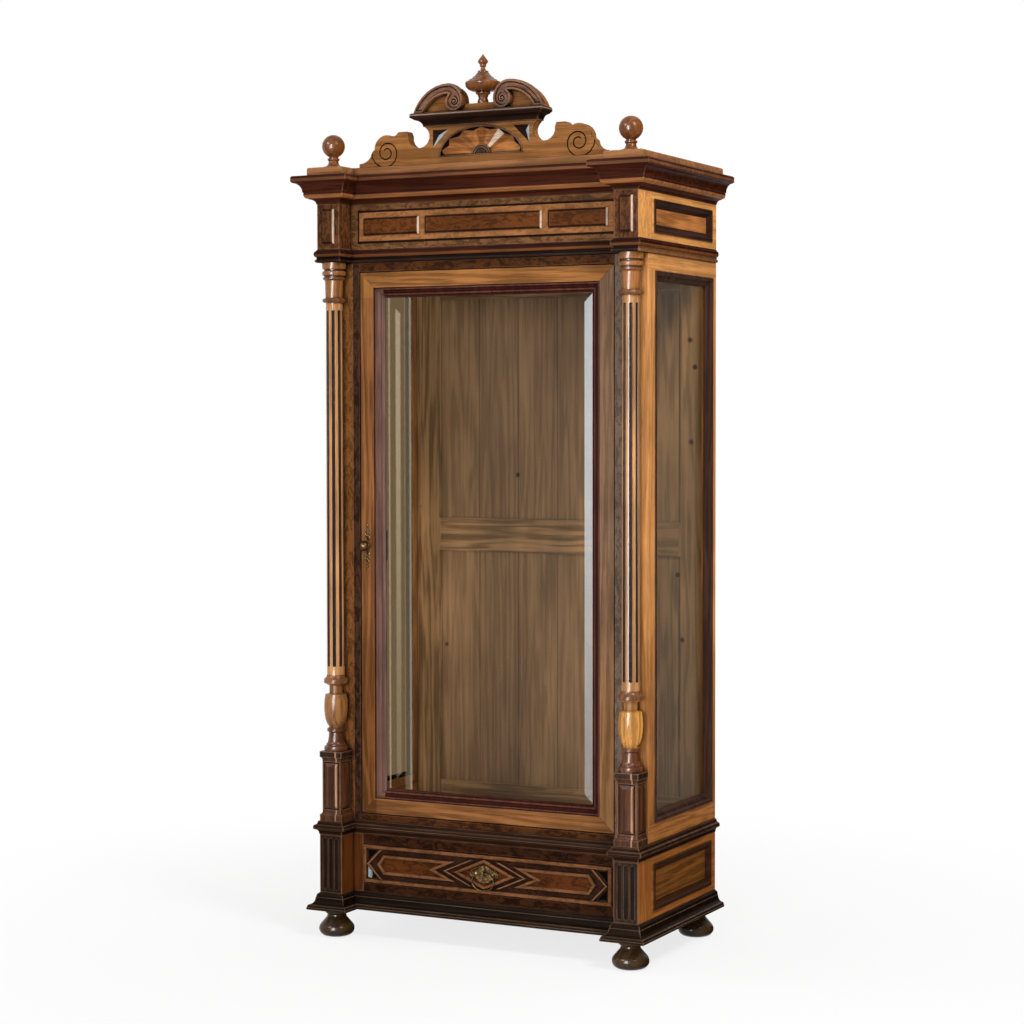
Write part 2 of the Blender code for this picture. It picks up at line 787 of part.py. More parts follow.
def make_panelled_side(name, sign, z, finish_name):
    """Side board with a moulded frame round a sunk panel."""
    face = (FRONT_Y + FRONT_THICKNESS + GAP, BACK_Y, *z)
    frame = (
        face[0] + SIDE_PANEL_FRONT,
        face[1] - SIDE_PANEL_BACK,
        z[0] + SIDE_PANEL_MARGIN,
        z[1] - SIDE_PANEL_MARGIN,
    )
    loops = (
        (face, SIDE_THICKNESS - GAP),
        (face, 0),
        (frame, 0),
        (frame, -SIDE_PANEL_RISE),
        (inset(frame, SIDE_PANEL_MOULDING * 0.35), -SIDE_PANEL_RISE),
        (inset(frame, SIDE_PANEL_MOULDING * 0.55), SIDE_PANEL_SINK * 0.35),
        (inset(frame, SIDE_PANEL_MOULDING), SIDE_PANEL_SINK),
    )
    place = side_plane(HALF, sign)
    shape = loft([placed(place, corners(rect), depth) for rect, depth in loops])
    add_object(name, shape, finish_name)


def make_drawer_rails():
    x = (-DRAWER_OPENING + GAP, DRAWER_OPENING - GAP)
    y = (FRONT_Y, FRONT_Y + FRONT_THICKNESS)
    board("drawer_rail_bottom", x, y, (BASE_Z, BASE_Z + DRAWER_RAIL_BOTTOM), "burl")
    board("drawer_rail_top", x, y, (WAIST_Z - DRAWER_RAIL_TOP, WAIST_Z - GAP), "burl")


def make_drawer_runner(name, sign):
    outer = sign * (DRAWER_SIDE_HALF + DRAWER_CLEARANCE)
    inner = outer - sign * RUNNER_WIDTH
    y = (DRAWER_BODY_Y, BACK_FRONT_Y - GAP)
    z = (BASE_Z, DRAWER_SIDE_Z0 - GAP)
    board(name, sorted((outer, inner)), y, z, "pine")


def make_base():
    make_feet()
    make_plinth()
    make_drawer_rails()
    for side, sign in (("left", -1), ("right", 1)):
        make_base_post(f"base_post_{side}", sign)
        make_panelled_side(f"base_side_{side}", sign, (BASE_Z, WAIST_Z - GAP), "golden_walnut")
        make_drawer_runner(f"drawer_runner_{side}", sign)


# Drawer
def tablet_outline(sign):
    """Drawer tablet: a point at the outer end and a notch facing the diamond."""
    half = DRAWER_TABLET_HALF_HEIGHT
    tip = DRAWER_HALF - DRAWER_TABLET_INSET
    shape = [
        (tip, 0),
        (tip - DRAWER_TABLET_POINT, half),
        (DRAWER_TABLET_END, half),
        (DRAWER_TABLET_END + DRAWER_TABLET_NOTCH, 0),
        (DRAWER_TABLET_END, -half),
        (tip - DRAWER_TABLET_POINT, -half),
    ]
    return [(sign * x, DRAWER_MIDDLE + z) for x, z in shape]


def chevron_outline(sign, tip, run, half, band):
    """Bent band that points to the drawer's end."""
    shape = ((tip, 0), (tip - run, half), (tip - run - band, half))
    shape += ((tip - band, 0), (tip - run - band, -half), (tip - run, -half))
    return [(sign * x, DRAWER_MIDDLE + z) for x, z in shape]


def diamond_outline():
    width = DIAMOND_HALF_WIDTH
    height = DIAMOND_HALF_HEIGHT
    shape = ((width, 0), (0, height), (-width, 0), (0, -height))
    return [(x, DRAWER_MIDDLE + z) for x, z in shape]


def drawer_corner(place, rect, sx, sz):
    """Cutter of the bevelled triangular pocket in one corner."""
    edge = rect[3] if sz > 0 else rect[2]
    tip = sx * rect[1]
    triangle = [(tip, edge), (tip - sx * DRAWER_CORNER_WIDTH, edge), (tip, DRAWER_MIDDLE)]
    triangle = inset_outline(triangle, DRAWER_BEAD / 4)
    return pocket(place, triangle, DRAWER_CORNER_SINK, DRAWER_CORNER_SLOPE)


def make_drawer_front():
    """Drawer front with a beaded edge, end bands, pointed tablets, chevrons and a diamond."""
    face = (-DRAWER_HALF, DRAWER_HALF, DRAWER_Z0, DRAWER_Z1)
    place = front_plane(FRONT_Y)
    y = (FRONT_Y, FRONT_Y + FRONT_THICKNESS)
    front = add_object("drawer_front", block(face[:2], y, face[2:]), "walnut")
    inner = inset(face, DRAWER_BEAD)
    for sx in (-1, 1):
        for sz in (-1, 1):
            cut(front, drawer_corner(place, inner, sx, sz))
    edge = DRAWER_BEAD * 0.25
    bead = (
        (face, UNION_DEPTH),
        (face, -DRAWER_BEAD_RISE * 0.5),
        (inset(face, edge), -DRAWER_BEAD_RISE),
        (inset(inner, -edge), -DRAWER_BEAD_RISE),
        (inner, -DRAWER_BEAD_RISE * 0.5),
        (inner, UNION_DEPTH),
    )
    join(front, frame_ring(place, bead))
    half = DIAMOND_HALF_HEIGHT
    slope = DIAMOND_HALF_WIDTH / DIAMOND_HALF_HEIGHT
    for sign in (-1, 1):
        join(front, framed_field(place, tablet_outline(sign)))
        end = chevron_outline(sign, inner[1] - GAP, DRAWER_CORNER_WIDTH, half, DRAWER_END_BAND)
        join(front, raised(place, end, CHEVRON_RISE, CHEVRON_BEVEL))
        tall = half - DRAWER_BEAD / 2
        tip = DIAMOND_HALF_WIDTH + CHEVRON_SPACE
        middle = chevron_outline(sign, tip, slope * tall, tall, CHEVRON_BAND)
        join(front, raised(place, middle, CHEVRON_RISE, CHEVRON_BEVEL))
    join(front, framed_field(place, diamond_outline()))
    return front


def make_drawer_box():
    pieces = []
    y = (DRAWER_BODY_Y, DRAWER_END_Y)
    inner = DRAWER_SIDE_HALF - DRAWER_WALL
    for side, sign in (("left", -1), ("right", 1)):
        x = sorted((sign * inner, sign * DRAWER_SIDE_HALF))
        z = (DRAWER_SIDE_Z0, DRAWER_SIDE_Z1)
        pieces.append(board(f"drawer_side_{side}", x, y, z, "pine"))
    x = (-inner + GAP, inner - GAP)
    bottom = DRAWER_SIDE_Z0 + DRAWER_BOTTOM_RISE
    floor = bottom + DRAWER_BOTTOM_THICKNESS
    pieces.append(board("drawer_bottom", x, y, (bottom, floor), "pine"))
    back_y = (DRAWER_END_Y - DRAWER_WALL, DRAWER_END_Y)
    pieces.append(board("drawer_back", x, back_y, (floor + GAP, DRAWER_SIDE_Z1), "pine"))
    return pieces


def make_pull_plate():
    """Shaped brass plate with an eye for the ring."""
    place = front_plane(PULL_FACE_Y)
    outline = []
    for i in range(ARC_STEPS * 3):
        t = 2 * math.pi * i / (ARC_STEPS * 3)
        swell = (1 + PULL_PLATE_LOBES * math.cos(4 * t)) / (1 + PULL_PLATE_LOBES) / 2
        u = PULL_PLATE_WIDTH * swell * math.cos(t)
        v = PULL_PLATE_HEIGHT * swell * math.sin(t)
        outline.append((u, DRAWER_MIDDLE + v))
    top = inset_outline(outline, PULL_PLATE_THICKNESS / 2)
    rings = (
        placed(place, outline, 0),
        placed(place, outline, -PULL_PLATE_THICKNESS / 2),
        placed(place, top, -PULL_PLATE_THICKNESS),
    )
    plate = add_object("drawer_pull_plate", loft(rings), "brass")
    x = (-PULL_EYE_WIDTH / 2, PULL_EYE_WIDTH / 2)
    root = PULL_FACE_Y - PULL_PLATE_THICKNESS + UNION_DEPTH
    y = (PULL_FACE_Y - PULL_PLATE_THICKNESS - PULL_EYE_LENGTH, root)
    z = (PULL_EYE_Z - PULL_EYE_HEIGHT / 2, PULL_EYE_Z + PULL_EYE_HEIGHT / 2)
    join(plate, block(x, y, z))
    reach = PULL_EYE_WIDTH
    cut(plate, rod(PULL_EYE_HOLE, (-reach, PULL_EYE_Y, PULL_EYE_Z), (reach, PULL_EYE_Y, PULL_EYE_Z)))
    return plate


def make_pull_ring():
    """Ring that hangs in the eye; its origin is where it hangs."""
    sides = TURNED_SIDES + CURVE_STEPS
    rings = []
    for i in range(sides):
        t = 2 * math.pi * i / sides
        ring = []
        for s in arc_angles(0, 360, ARC_STEPS)[:-1]:
            wide = RING_HALF_WIDTH + RING_WIRE * math.cos(s)
            tall = RING_HALF_HEIGHT + RING_WIRE * math.cos(s)
            ring.append((wide * math.sin(t), RING_WIRE * math.sin(s), tall * math.cos(t) - RING_HALF_HEIGHT))
        rings.append(ring)
    place = (0, PULL_EYE_Y, PULL_EYE_Z)
    return add_object("drawer_ring", loft(rings, closed=True), "brass", True, place)


def make_drawer():
    slide = joint_axis("drawer_slide", (0, FRONT_Y, DRAWER_MIDDLE))
    for piece in [make_drawer_front(), *make_drawer_box(), make_pull_plate()]:
        attach(piece, slide)
    swing = joint_axis("drawer_ring_swing", (0, PULL_EYE_Y, PULL_EYE_Z), slide)
    attach(make_pull_ring(), swing)


# Waist, pedestals and columns
def make_waist():
    profile = moulding(WAIST_PROFILE, WAIST_OVERHANG, WAIST_HEIGHT - GAP)
    moulded_board("waist", profile, WAIST_Z, "ebonised", BACK_NOTCH)


def pedestal_profile():
    high = PEDESTAL_HEIGHT - GAP
    foot = PEDESTAL_FOOT_HEIGHT + PEDESTAL_COVE_HEIGHT
    neck = high - PEDESTAL_CAP_HEIGHT
    profile = [(PEDESTAL_LEDGE, 0), (PEDESTAL_LEDGE, PEDESTAL_FOOT_HEIGHT)]
    profile += quarter(profile[-1], (0, foot), False)
    profile += [(0, neck - PEDESTAL_COVE_HEIGHT)]
    profile += quarter(profile[-1], (PEDESTAL_LEDGE, neck), True)
    return profile + [(PEDESTAL_LEDGE, high)]


def add_sunk_field(pedestal, place, rect):
    """Sink a panel into a face and set a bold bevelled field in it."""
    hollow = corners(rect)
    depths = (-UNION_DEPTH, PEDESTAL_CHANNEL_DEPTH)
    cut(pedestal, loft([placed(place, hollow, depth) for depth in depths]))
    field = corners(inset(rect, PEDESTAL_CHANNEL_WIDTH))
    top = inset_outline(field, PEDESTAL_FIELD_BEVEL)
    floor = PEDESTAL_CHANNEL_DEPTH
    join(pedestal, loft([
        placed(place, field, floor + UNION_DEPTH),
        placed(place, field, floor - PEDESTAL_FIELD_RISE * 0.4),
        placed(place, top, floor - PEDESTAL_FIELD_RISE),
    ]))


def make_pedestal(name, sign):
    half = BLOCK_WIDTH / 2 - PEDESTAL_LEDGE
    face_y = BLOCK_Y + PEDESTAL_LEDGE
    back_y = FRONT_Y - GAP
    middle = sign * BLOCK_X
    rings = []
    for out, up in pedestal_profile():
        rect = (middle - half - out, middle + half + out, face_y - out, back_y)
        rings.append([(x, y, CASE_Z + up) for x, y in corners(rect)])
    pedestal = add_object(name, loft(rings), "ebonised")
    low = CASE_Z + PEDESTAL_FOOT_HEIGHT + PEDESTAL_COVE_HEIGHT + PEDESTAL_PANEL_MARGIN
    high = CASE_Z + PEDESTAL_HEIGHT - PEDESTAL_CAP_HEIGHT - PEDESTAL_COVE_HEIGHT - PEDESTAL_PANEL_MARGIN
    spread = half - PEDESTAL_PANEL_MARGIN
    front = (middle - spread, middle + spread, low, high)
    add_sunk_field(pedestal, front_plane(face_y), front)
    across = (face_y + PEDESTAL_PANEL_MARGIN, back_y - PEDESTAL_PANEL_MARGIN, low, high)
    for x, facing in ((BLOCK_X + half, sign), (-BLOCK_X + half, -sign)):
        add_sunk_field(pedestal, side_plane(x, facing), across)


def column_profile():
    """Turned outline from the foot on the pedestal to the top of the capital."""
    ring = COLUMN_RING_RADIUS
    shaft = COLUMN_SHAFT_RADIUS
    stem = VASE_STEM_RADIUS
    height = CASE_HEIGHT - PEDESTAL_HEIGHT - GAP
    vase = VASE_HEIGHT
    capital = height - CAPITAL_HEIGHT
    profile = [(0, 0), (ring * 0.96, 0), (ring, vase * 0.03), (ring * 0.96, vase * 0.06)]
    profile += [(ring * 0.82, vase * 0.07), (ring * 0.82, vase * 0.09)]
    profile += quarter(profile[-1], (stem * 1.10, vase * 0.24), False)
    profile += [(stem * 1.36, vase * 0.255), (stem * 1.36, vase * 0.29), (stem * 1.08, vase * 0.305)]
    profile += arc((stem * 1.02, vase * 0.575), (VASE_RADIUS - stem * 1.02, vase * 0.25), -80, 40, 6)
    profile += [(VASE_RADIUS * 0.80, vase * 0.735), (stem, vase * 0.75)]
    profile += [(stem * 1.02, vase * 0.845), (ring * 0.72, vase * 0.86)]
    profile += [(ring, vase * 0.885), (ring, vase * 0.93), (ring * 0.80, vase * 0.96), (shaft * 1.03, vase)]
    profile += [(shaft * 0.97, capital), (ring * 0.92, capital + CAPITAL_HEIGHT * 0.02)]
    profile += [(ring, capital + CAPITAL_HEIGHT * 0.06), (ring * 0.92, capital + CAPITAL_HEIGHT * 0.11)]
    profile += [(COLUMN_NECK_RADIUS * 0.95, capital + CAPITAL_HEIGHT * 0.13)]
    profile += [(COLUMN_NECK_RADIUS, capital + CAPITAL_HEIGHT * 0.56)]
    profile += [(ring * share, capital + CAPITAL_HEIGHT * up) for share, up in CAPITAL_RINGS]
    profile += [(ring, height), (0, height)]
    return profile


def make_column(name, sign):
    place = (sign * BLOCK_X, COLUMN_Y, CASE_Z + PEDESTAL_HEIGHT)
    column = add_object(name, turned(column_profile(), TURNED_SIDES), "light_walnut", True, place)
    low = VASE_HEIGHT + FLUTE_END_SPACE
    high = CASE_HEIGHT - PEDESTAL_HEIGHT - CAPITAL_HEIGHT - FLUTE_END_SPACE
    for i in range(FLUTE_COUNT):
        t = 2 * math.pi * (i + 0.5) / FLUTE_COUNT
        spot = (COLUMN_SHAFT_RADIUS * math.cos(t), COLUMN_SHAFT_RADIUS * math.sin(t), 0)
        cut(column, moved(groove(FLUTE_RADIUS, low, high, spot), place))


def moved(shape, vector):
    bmesh.ops.translate(shape, verts=shape.verts, vec=vector)
    return shape


# Glazed case
def make_side_frame(name, sign):
    """Stiles and rails with a moulded edge and a rebate for the glass."""
    outer = (FRONT_Y, BACK_Y, CASE_Z, NECKING_Z - GAP)
    edge = (
        outer[0] + SIDE_STILE_FRONT,
        outer[1] - SIDE_STILE_BACK,
        outer[2] + SIDE_RAIL_BOTTOM,
        outer[3] - SIDE_RAIL_TOP,
    )
    sight = inset(edge, SIDE_GLAZING_WIDTH)
    rebate = inset(sight, -SIDE_GLASS_REBATE)
    loops = (
        (outer, SIDE_THICKNESS - GAP),
        (outer, 0),
        (edge, 0),
        (edge, -SIDE_PANEL_RISE),
        (inset(edge, SIDE_GLAZING_WIDTH * 0.30), -SIDE_PANEL_RISE),
        (inset(edge, SIDE_GLAZING_WIDTH * 0.45), SIDE_GLASS_DEPTH * 0.15),
        (inset(edge, SIDE_GLAZING_WIDTH * 0.75), SIDE_GLASS_DEPTH * 0.30),
        (sight, SIDE_GLASS_DEPTH * 0.65),
        (sight, SIDE_GLASS_DEPTH),
        (rebate, SIDE_GLASS_DEPTH),
        (rebate, SIDE_THICKNESS - GAP),
    )
    add_object(name, frame_ring(side_plane(HALF, sign), loops), "golden_walnut")
    return inset(rebate, GAP)


def make_side_glass(name, sign, pane):
    depth = SIDE_GLASS_DEPTH + GAP
    x = sorted((sign * (HALF - depth), sign * (HALF - depth - GLASS_THICKNESS)))
    board(name, x, pane[:2], pane[2:], "glass")


def make_front_post(name, sign):
    x = sorted((sign * OPENING_HALF, sign * (INNER_HALF - GAP)))
    y = (FRONT_Y, FRONT_Y + FRONT_POST_DEPTH)
    post = board(name, x, y, (CASE_Z, NECKING_Z - GAP), "burl")
    if sign < 0:
        mouth = (-OPENING_HALF - KEEPER_DEPTH, -OPENING_HALF + UNION_DEPTH)
        cut(post, block(mouth, *bolt_channel()))


def bolt_channel():
    """Depth and height ranges of the way that the bolt slides in."""
    deep = BOLT_DEPTH / 2 + SLIDE_CLEARANCE
    tall = BOLT_TALL / 2 + SLIDE_CLEARANCE
    return (BOLT_MIDDLE_Y - deep, BOLT_MIDDLE_Y + deep), (BOLT_Z - tall, BOLT_Z + tall)


def make_case_rails():
    """Head and sill of the door opening, each with a pivot pin for the door."""
    x = (-OPENING_HALF + GAP, OPENING_HALF - GAP)
    y = (FRONT_Y, FRONT_Y + RAIL_DEPTH)
    sill = board("sill_rail", x, y, (CASE_Z, SILL_TOP), "burl")
    pin = (HINGE.x, HINGE.y)
    join(sill, rod(PIVOT_RADIUS, (*pin, SILL_TOP - UNION_DEPTH), (*pin, SILL_TOP + PIVOT_LENGTH)))
    head = board("head_rail", x, y, (HEAD_BOTTOM, NECKING_Z - GAP), "burl")
    join(head, rod(PIVOT_RADIUS, (*pin, HEAD_BOTTOM + UNION_DEPTH), (*pin, HEAD_BOTTOM - PIVOT_LENGTH)))


def make_back_panel():
    """Framed back board with two sunk fields on the inside."""
    x = (-INNER_HALF + GAP, INNER_HALF - GAP)
    panel = board("back_panel", x, (BACK_FRONT_Y, BACK_Y), (BASE_Z, TOP_Z - GAP), "pine")
    field_x = (x[0] + BACK_STILE, x[1] - BACK_STILE)
    field_y = (BACK_FRONT_Y - UNION_DEPTH, BACK_FRONT_Y + BACK_RELIEF)
    middle = CASE_Z + BACK_MIDDLE_LEVEL
    low = (CASE_Z + BACK_RAIL_BOTTOM, middle)
    high = (middle + BACK_MIDDLE_HEIGHT, NECKING_Z - BACK_RAIL_TOP)
    for z in (low, high):
        cut(panel, block(field_x, field_y, z))


def make_case():
    make_waist()
    make_case_rails()
    make_back_panel()
    for side, sign in (("left", -1), ("right", 1)):
        make_pedestal(f"pedestal_{side}", sign)
        make_column(f"column_{side}", sign)
        make_front_post(f"front_post_{side}", sign)
        pane = make_side_frame(f"side_frame_{side}", sign)
        make_side_glass(f"side_glass_{side}", sign, pane)
    profile = moulding(NECKING_PROFILE, NECKING_OVERHANG, NECKING_HEIGHT - GAP)
    moulded_board("necking", profile, NECKING_Z, "walnut", BACK_NOTCH)


# Door
def make_door_frame():
    """Four mitred lengths with a lip behind the glass; the rails turn on the pivot pins."""
    outer = (-DOOR_HALF, DOOR_HALF, DOOR_Z0, DOOR_Z1)
    inner = inset(outer, DOOR_FRAME_WIDTH)
    lip = inset(inner, DOOR_GLASS_LIP)
    lip_depth = DOOR_GLASS_DEPTH + GLASS_THICKNESS + GAP
    loops = (
        (outer, DOOR_EDGE_ROUND),
        (inset(outer, DOOR_EDGE_ROUND), 0),
        (inner, 0),
        (inner, lip_depth),
        (lip, lip_depth),
        (lip, DOOR_THICKNESS),
        (outer, DOOR_THICKNESS),
    )
    place = front_plane(FRONT_Y)
    names = ("door_rail_bottom", "door_stile_right", "door_rail_top", "door_stile_left")
    pieces = []
    for side, name in enumerate(names):
        pieces.append(add_object(name, frame_member(place, loops, side), "light_walnut"))
    hole = PIVOT_RADIUS + GAP
    reach = PIVOT_LENGTH + GAP
    pin = (HINGE.x, HINGE.y)
    cut(pieces[0], rod(hole, (*pin, SILL_TOP), (*pin, SILL_TOP + reach)))
    cut(pieces[2], rod(hole, (*pin, HEAD_BOTTOM), (*pin, HEAD_BOTTOM - reach)))
    spindle = SPINDLE_RADIUS + SLIDE_CLEARANCE
    front = (KNOB.x, FRONT_Y - UNION_DEPTH, KNOB.z)
    cut(pieces[3], rod(spindle, front, (KNOB.x, DOOR_BACK_Y + UNION_DEPTH, KNOB.z)))
    return pieces


def make_door_moulding():
    """Stepped moulding that falls from the frame to the glass."""
    outer = inset((-DOOR_HALF, DOOR_HALF, DOOR_Z0, DOOR_Z1), DOOR_FRAME_WIDTH + GAP)
    back = DOOR_GLASS_DEPTH - GAP
    drop = back - DOOR_MOULDING_RECESS
    steps = (
        (0.0, 1.0),
        (0.0, 0.10),
        (0.07, 0.0),
        (0.20, 0.0),
        (0.28, 0.22),
        (0.42, 0.22),
        (0.62, 0.52),
        (0.74, 0.52),
        (0.82, 0.66),
        (0.96, 0.72),
        (1.0, 0.80),
        (1.0, 1.0),
    )
    loops = []
    for across, down in steps:
        rect = inset(outer, across * DOOR_MOULDING_WIDTH)
        loops.append((rect, DOOR_MOULDING_RECESS + down * drop))
    return add_object("door_moulding", frame_ring(front_plane(FRONT_Y), loops), "mahogany")


def make_door_glass():
    """Pane with a wide bevel on its face."""
    pane = inset((-DOOR_HALF, DOOR_HALF, DOOR_Z0, DOOR_Z1), DOOR_FRAME_WIDTH + GAP)
    bevel = inset(pane, DOOR_MOULDING_WIDTH + BEVEL_WIDTH)
    place = front_plane(FRONT_Y + DOOR_GLASS_DEPTH)
    loops = ((pane, GLASS_THICKNESS), (pane, BEVEL_DEPTH), (bevel, 0))
    return add_object("door_glass", loft([placed(place, corners(r), d) for r, d in loops]), "glass")


def make_lock():
    """Rim lock on the inside of the door, and the bolt in its channel."""
    x = (LOCK_LEFT, LOCK_LEFT + LOCK_WIDTH)
    y = (DOOR_BACK_Y + GAP, DOOR_BACK_Y + GAP + LOCK_DEPTH)
    z = (LOCK_HEIGHT - LOCK_TALL / 2, LOCK_HEIGHT + LOCK_TALL / 2)
    case = board("lock_case", x, y, z, "iron")
    end = LOCK_LEFT + GAP + BOLT_LENGTH
    cut(case, block((LOCK_LEFT - UNION_DEPTH, end + SLIDE_CLEARANCE), *bolt_channel()))
    hole = SPINDLE_RADIUS + SLIDE_CLEARANCE
    inside = y[0] + SPINDLE_REACH + SLIDE_CLEARANCE
    cut(case, rod(hole, (KNOB.x, DOOR_BACK_Y, KNOB.z), (KNOB.x, inside, KNOB.z)))
    bolt_y = (BOLT_MIDDLE_Y - BOLT_DEPTH / 2, BOLT_MIDDLE_Y + BOLT_DEPTH / 2)
    bolt_z = (BOLT_Z - BOLT_TALL / 2, BOLT_Z + BOLT_TALL / 2)
    bolt = board("lock_bolt", (LOCK_LEFT + GAP, end), bolt_y, bolt_z, "brass")
    return case, bolt


def make_knob():
    """Turned knob with its spindle; local +Z points out of the door."""
    reach = DOOR_THICKNESS + 2 * GAP + SPINDLE_REACH
    rose = KNOB_ROSE_RADIUS
    neck = KNOB_NECK_RADIUS
    ball = KNOB_NECK_LENGTH + KNOB_RADIUS * 0.72
    profile = [(0, -reach), (SPINDLE_RADIUS, -reach), (SPINDLE_RADIUS, 0), (rose, 0)]
    profile += [(rose, KNOB_NECK_LENGTH * 0.18), (neck, KNOB_NECK_LENGTH * 0.45), (neck, KNOB_NECK_LENGTH)]
    profile += arc((0, ball), (KNOB_RADIUS, KNOB_RADIUS * 0.78), -62, 90)
    profile[-1] = (0, profile[-1][1])
    knob = add_object("door_knob", turned(profile, SMALL_SIDES + CURVE_STEPS), "brass", True, KNOB)
    knob.rotation_euler = (math.pi / 2, 0, 0)
    return knob


def make_door():
    hinge = joint_axis("door_hinge", HINGE)
    case, bolt = make_lock()
    for piece in [*make_door_frame(), make_door_moulding(), make_door_glass(), case]:
        attach(piece, hinge)
    attach(make_knob(), joint_axis("door_knob_turn", KNOB, hinge))
    throw = joint_axis("lock_bolt_slide", (LOCK_LEFT, BOLT_MIDDLE_Y, BOLT_Z), hinge)
    attach(bolt, throw)


# Frieze, cornice and top
def make_frieze_board():
    half = BLOCK_INNER - GAP
    y = (FRONT_Y, FRONT_Y + FRONT_THICKNESS)
    z = (FRIEZE_Z, CORNICE_Z - GAP)
    frieze = board("frieze_board", (-half, half), y, z, "burl")
    middle = sum(z) / 2
    place = front_plane(FRONT_Y)
    tall = FRIEZE_FRAME_HEIGHT / 2
    frame = (-FRIEZE_FRAME_WIDTH, FRIEZE_FRAME_WIDTH, middle - tall, middle + tall)
    field = corners(frame)
    join(frieze, raised(place, field, FRIEZE_FRAME_RISE, FRIEZE_FRAME_RISE / 2))
    low = frame[2] + FRIEZE_FRAME_BAND
    high = frame[3] - FRIEZE_FRAME_BAND
    inner = FRIEZE_CENTRE_HALF + FRIEZE_DIVIDER
    outer = FRIEZE_FRAME_WIDTH - FRIEZE_FRAME_BAND
    upper = front_plane(FRONT_Y - FRIEZE_FRAME_RISE)
    for u0, u1 in ((-outer, -inner), (-FRIEZE_CENTRE_HALF, FRIEZE_CENTRE_HALF), (inner, outer)):
        join(frieze, raised(upper, corners((u0, u1, low, high)), FRIEZE_TABLET_RISE, TABLET_BEVEL))


def make_frieze_block(name, sign):
    x = sorted((sign * BLOCK_INNER, sign * HALF))
    z = (FRIEZE_Z, CORNICE_Z - GAP)
    corner = board(name, x, (BLOCK_Y, FRONT_Y + FRONT_THICKNESS), z, "burl")
    tablet = inset((*x, *z), BLOCK_TABLET_MARGIN)
    join(corner, raised(front_plane(BLOCK_Y), corners(tablet), FRIEZE_TABLET_RISE, TABLET_BEVEL))


def ball_profile():
    base = BALL_BASE_RADIUS
    neck = BALL_NECK_RADIUS
    rise = BALL_NECK_HEIGHT
    start = math.degrees(math.asin(neck / BALL_RADIUS)) - 90
    centre = rise + BALL_RADIUS * math.cos(math.radians(90 + start))
    profile = [(0, GAP), (base, GAP), (base, rise * 0.12)]
    profile += quarter(profile[-1], (neck, rise * 0.62), False)
    profile += [(neck * 1.25, rise * 0.72), (neck * 1.25, rise * 0.84), (neck * 0.95, rise * 0.90)]
    profile += arc((0, centre), (BALL_RADIUS, BALL_RADIUS), start, 90, ARC_STEPS + 2)
    profile[-1] = (0, profile[-1][1])
    return profile


def make_top():
    make_frieze_board()
    profile = moulding(CORNICE_PROFILE, CORNICE_OVERHANG, CORNICE_HEIGHT - GAP)
    notch = (INNER_HALF, FRONT_Y + CORNICE_FRONT_RAIL)
    moulded_board("cornice", profile, CORNICE_Z, "walnut", notch)
    edge = TOP_OVERHANG - TOP_EDGE_ROUND
    high = TOP_THICKNESS - GAP
    top = [(edge, 0), (TOP_OVERHANG, TOP_EDGE_ROUND), (TOP_OVERHANG, high - TOP_EDGE_ROUND), (edge, high)]
    moulded_board("top_board", top, TOP_Z, "light_walnut", None)
    for side, sign in (("left", -1), ("right", 1)):
        make_frieze_block(f"frieze_block_{side}", sign)
        make_panelled_side(f"frieze_side_{side}", sign, (FRIEZE_Z, CORNICE_Z - GAP), "golden_walnut")
        place = (sign * BLOCK_X, COLUMN_Y, CREST_Z)
        add_object(f"ball_finial_{side}", turned(ball_profile(), TURNED_SIDES), "walnut", True, place)


# Crest
def arch_arc(shrink):
    """Round back of the right arch from its foot to its top."""
    radius = ARCH_RADIUS - shrink
    drop = ARCH_RADIUS - ARCH_RISE
    start = math.degrees(math.asin(drop / radius))
    return arc((ARCH_TOP_X, -drop), (radius, radius), start, 90)


def arch_curve(shrink):
    """Outer edge of the right arch from its foot, over the top, to the side of the scroll."""
    inner = ARCH_TOP_X - SCROLL_X + SCROLL_RADIUS - shrink
    drop = ARCH_RISE - SCROLL_Z - shrink
    return arch_arc(shrink) + arc((ARCH_TOP_X, SCROLL_Z), (inner, drop), 90, 180)[1:]


def crest_half_outline():
    """Right half of the crest board, from the saddle under the finial down to the foot."""
    arch = SHELF_LEVEL + SHELF_HEIGHT + GAP
    tympanum = [(x, arch + z) for x, z in arch_curve(ARCH_MARGIN)]
    saddle = arch + SADDLE_HEIGHT
    outline = [(0, saddle), (tympanum[-1][0], saddle)]
    outline += reversed(tympanum)
    outline += [(CREST_NECK_HALF, arch), (CREST_NECK_HALF, SHELF_LEVEL - GAP)]
    outline += arc((NOTCH_X, NOTCH_Z), (NOTCH_HALF_WIDTH, NOTCH_HALF_HEIGHT), 130, 370, 12)
    outline += [(STEP_INNER_X, STEP_Z), (STEP_OUTER_X, STEP_Z)]
    outline += [(STEP_OUTER_X + STEP_DROP, STEP_Z - STEP_DROP)]
    outline += arc((HUMP_X, HUMP_Z), (HUMP_RADIUS, HUMP_RADIUS), 120, 0)
    outline += [(SHOULDER_X, SHOULDER_Z)]
    outline += quarter(outline[-1], (CREST_HALF_WIDTH, CREST_END_HEIGHT), True)
    return outline + [(CREST_HALF_WIDTH, 0)]


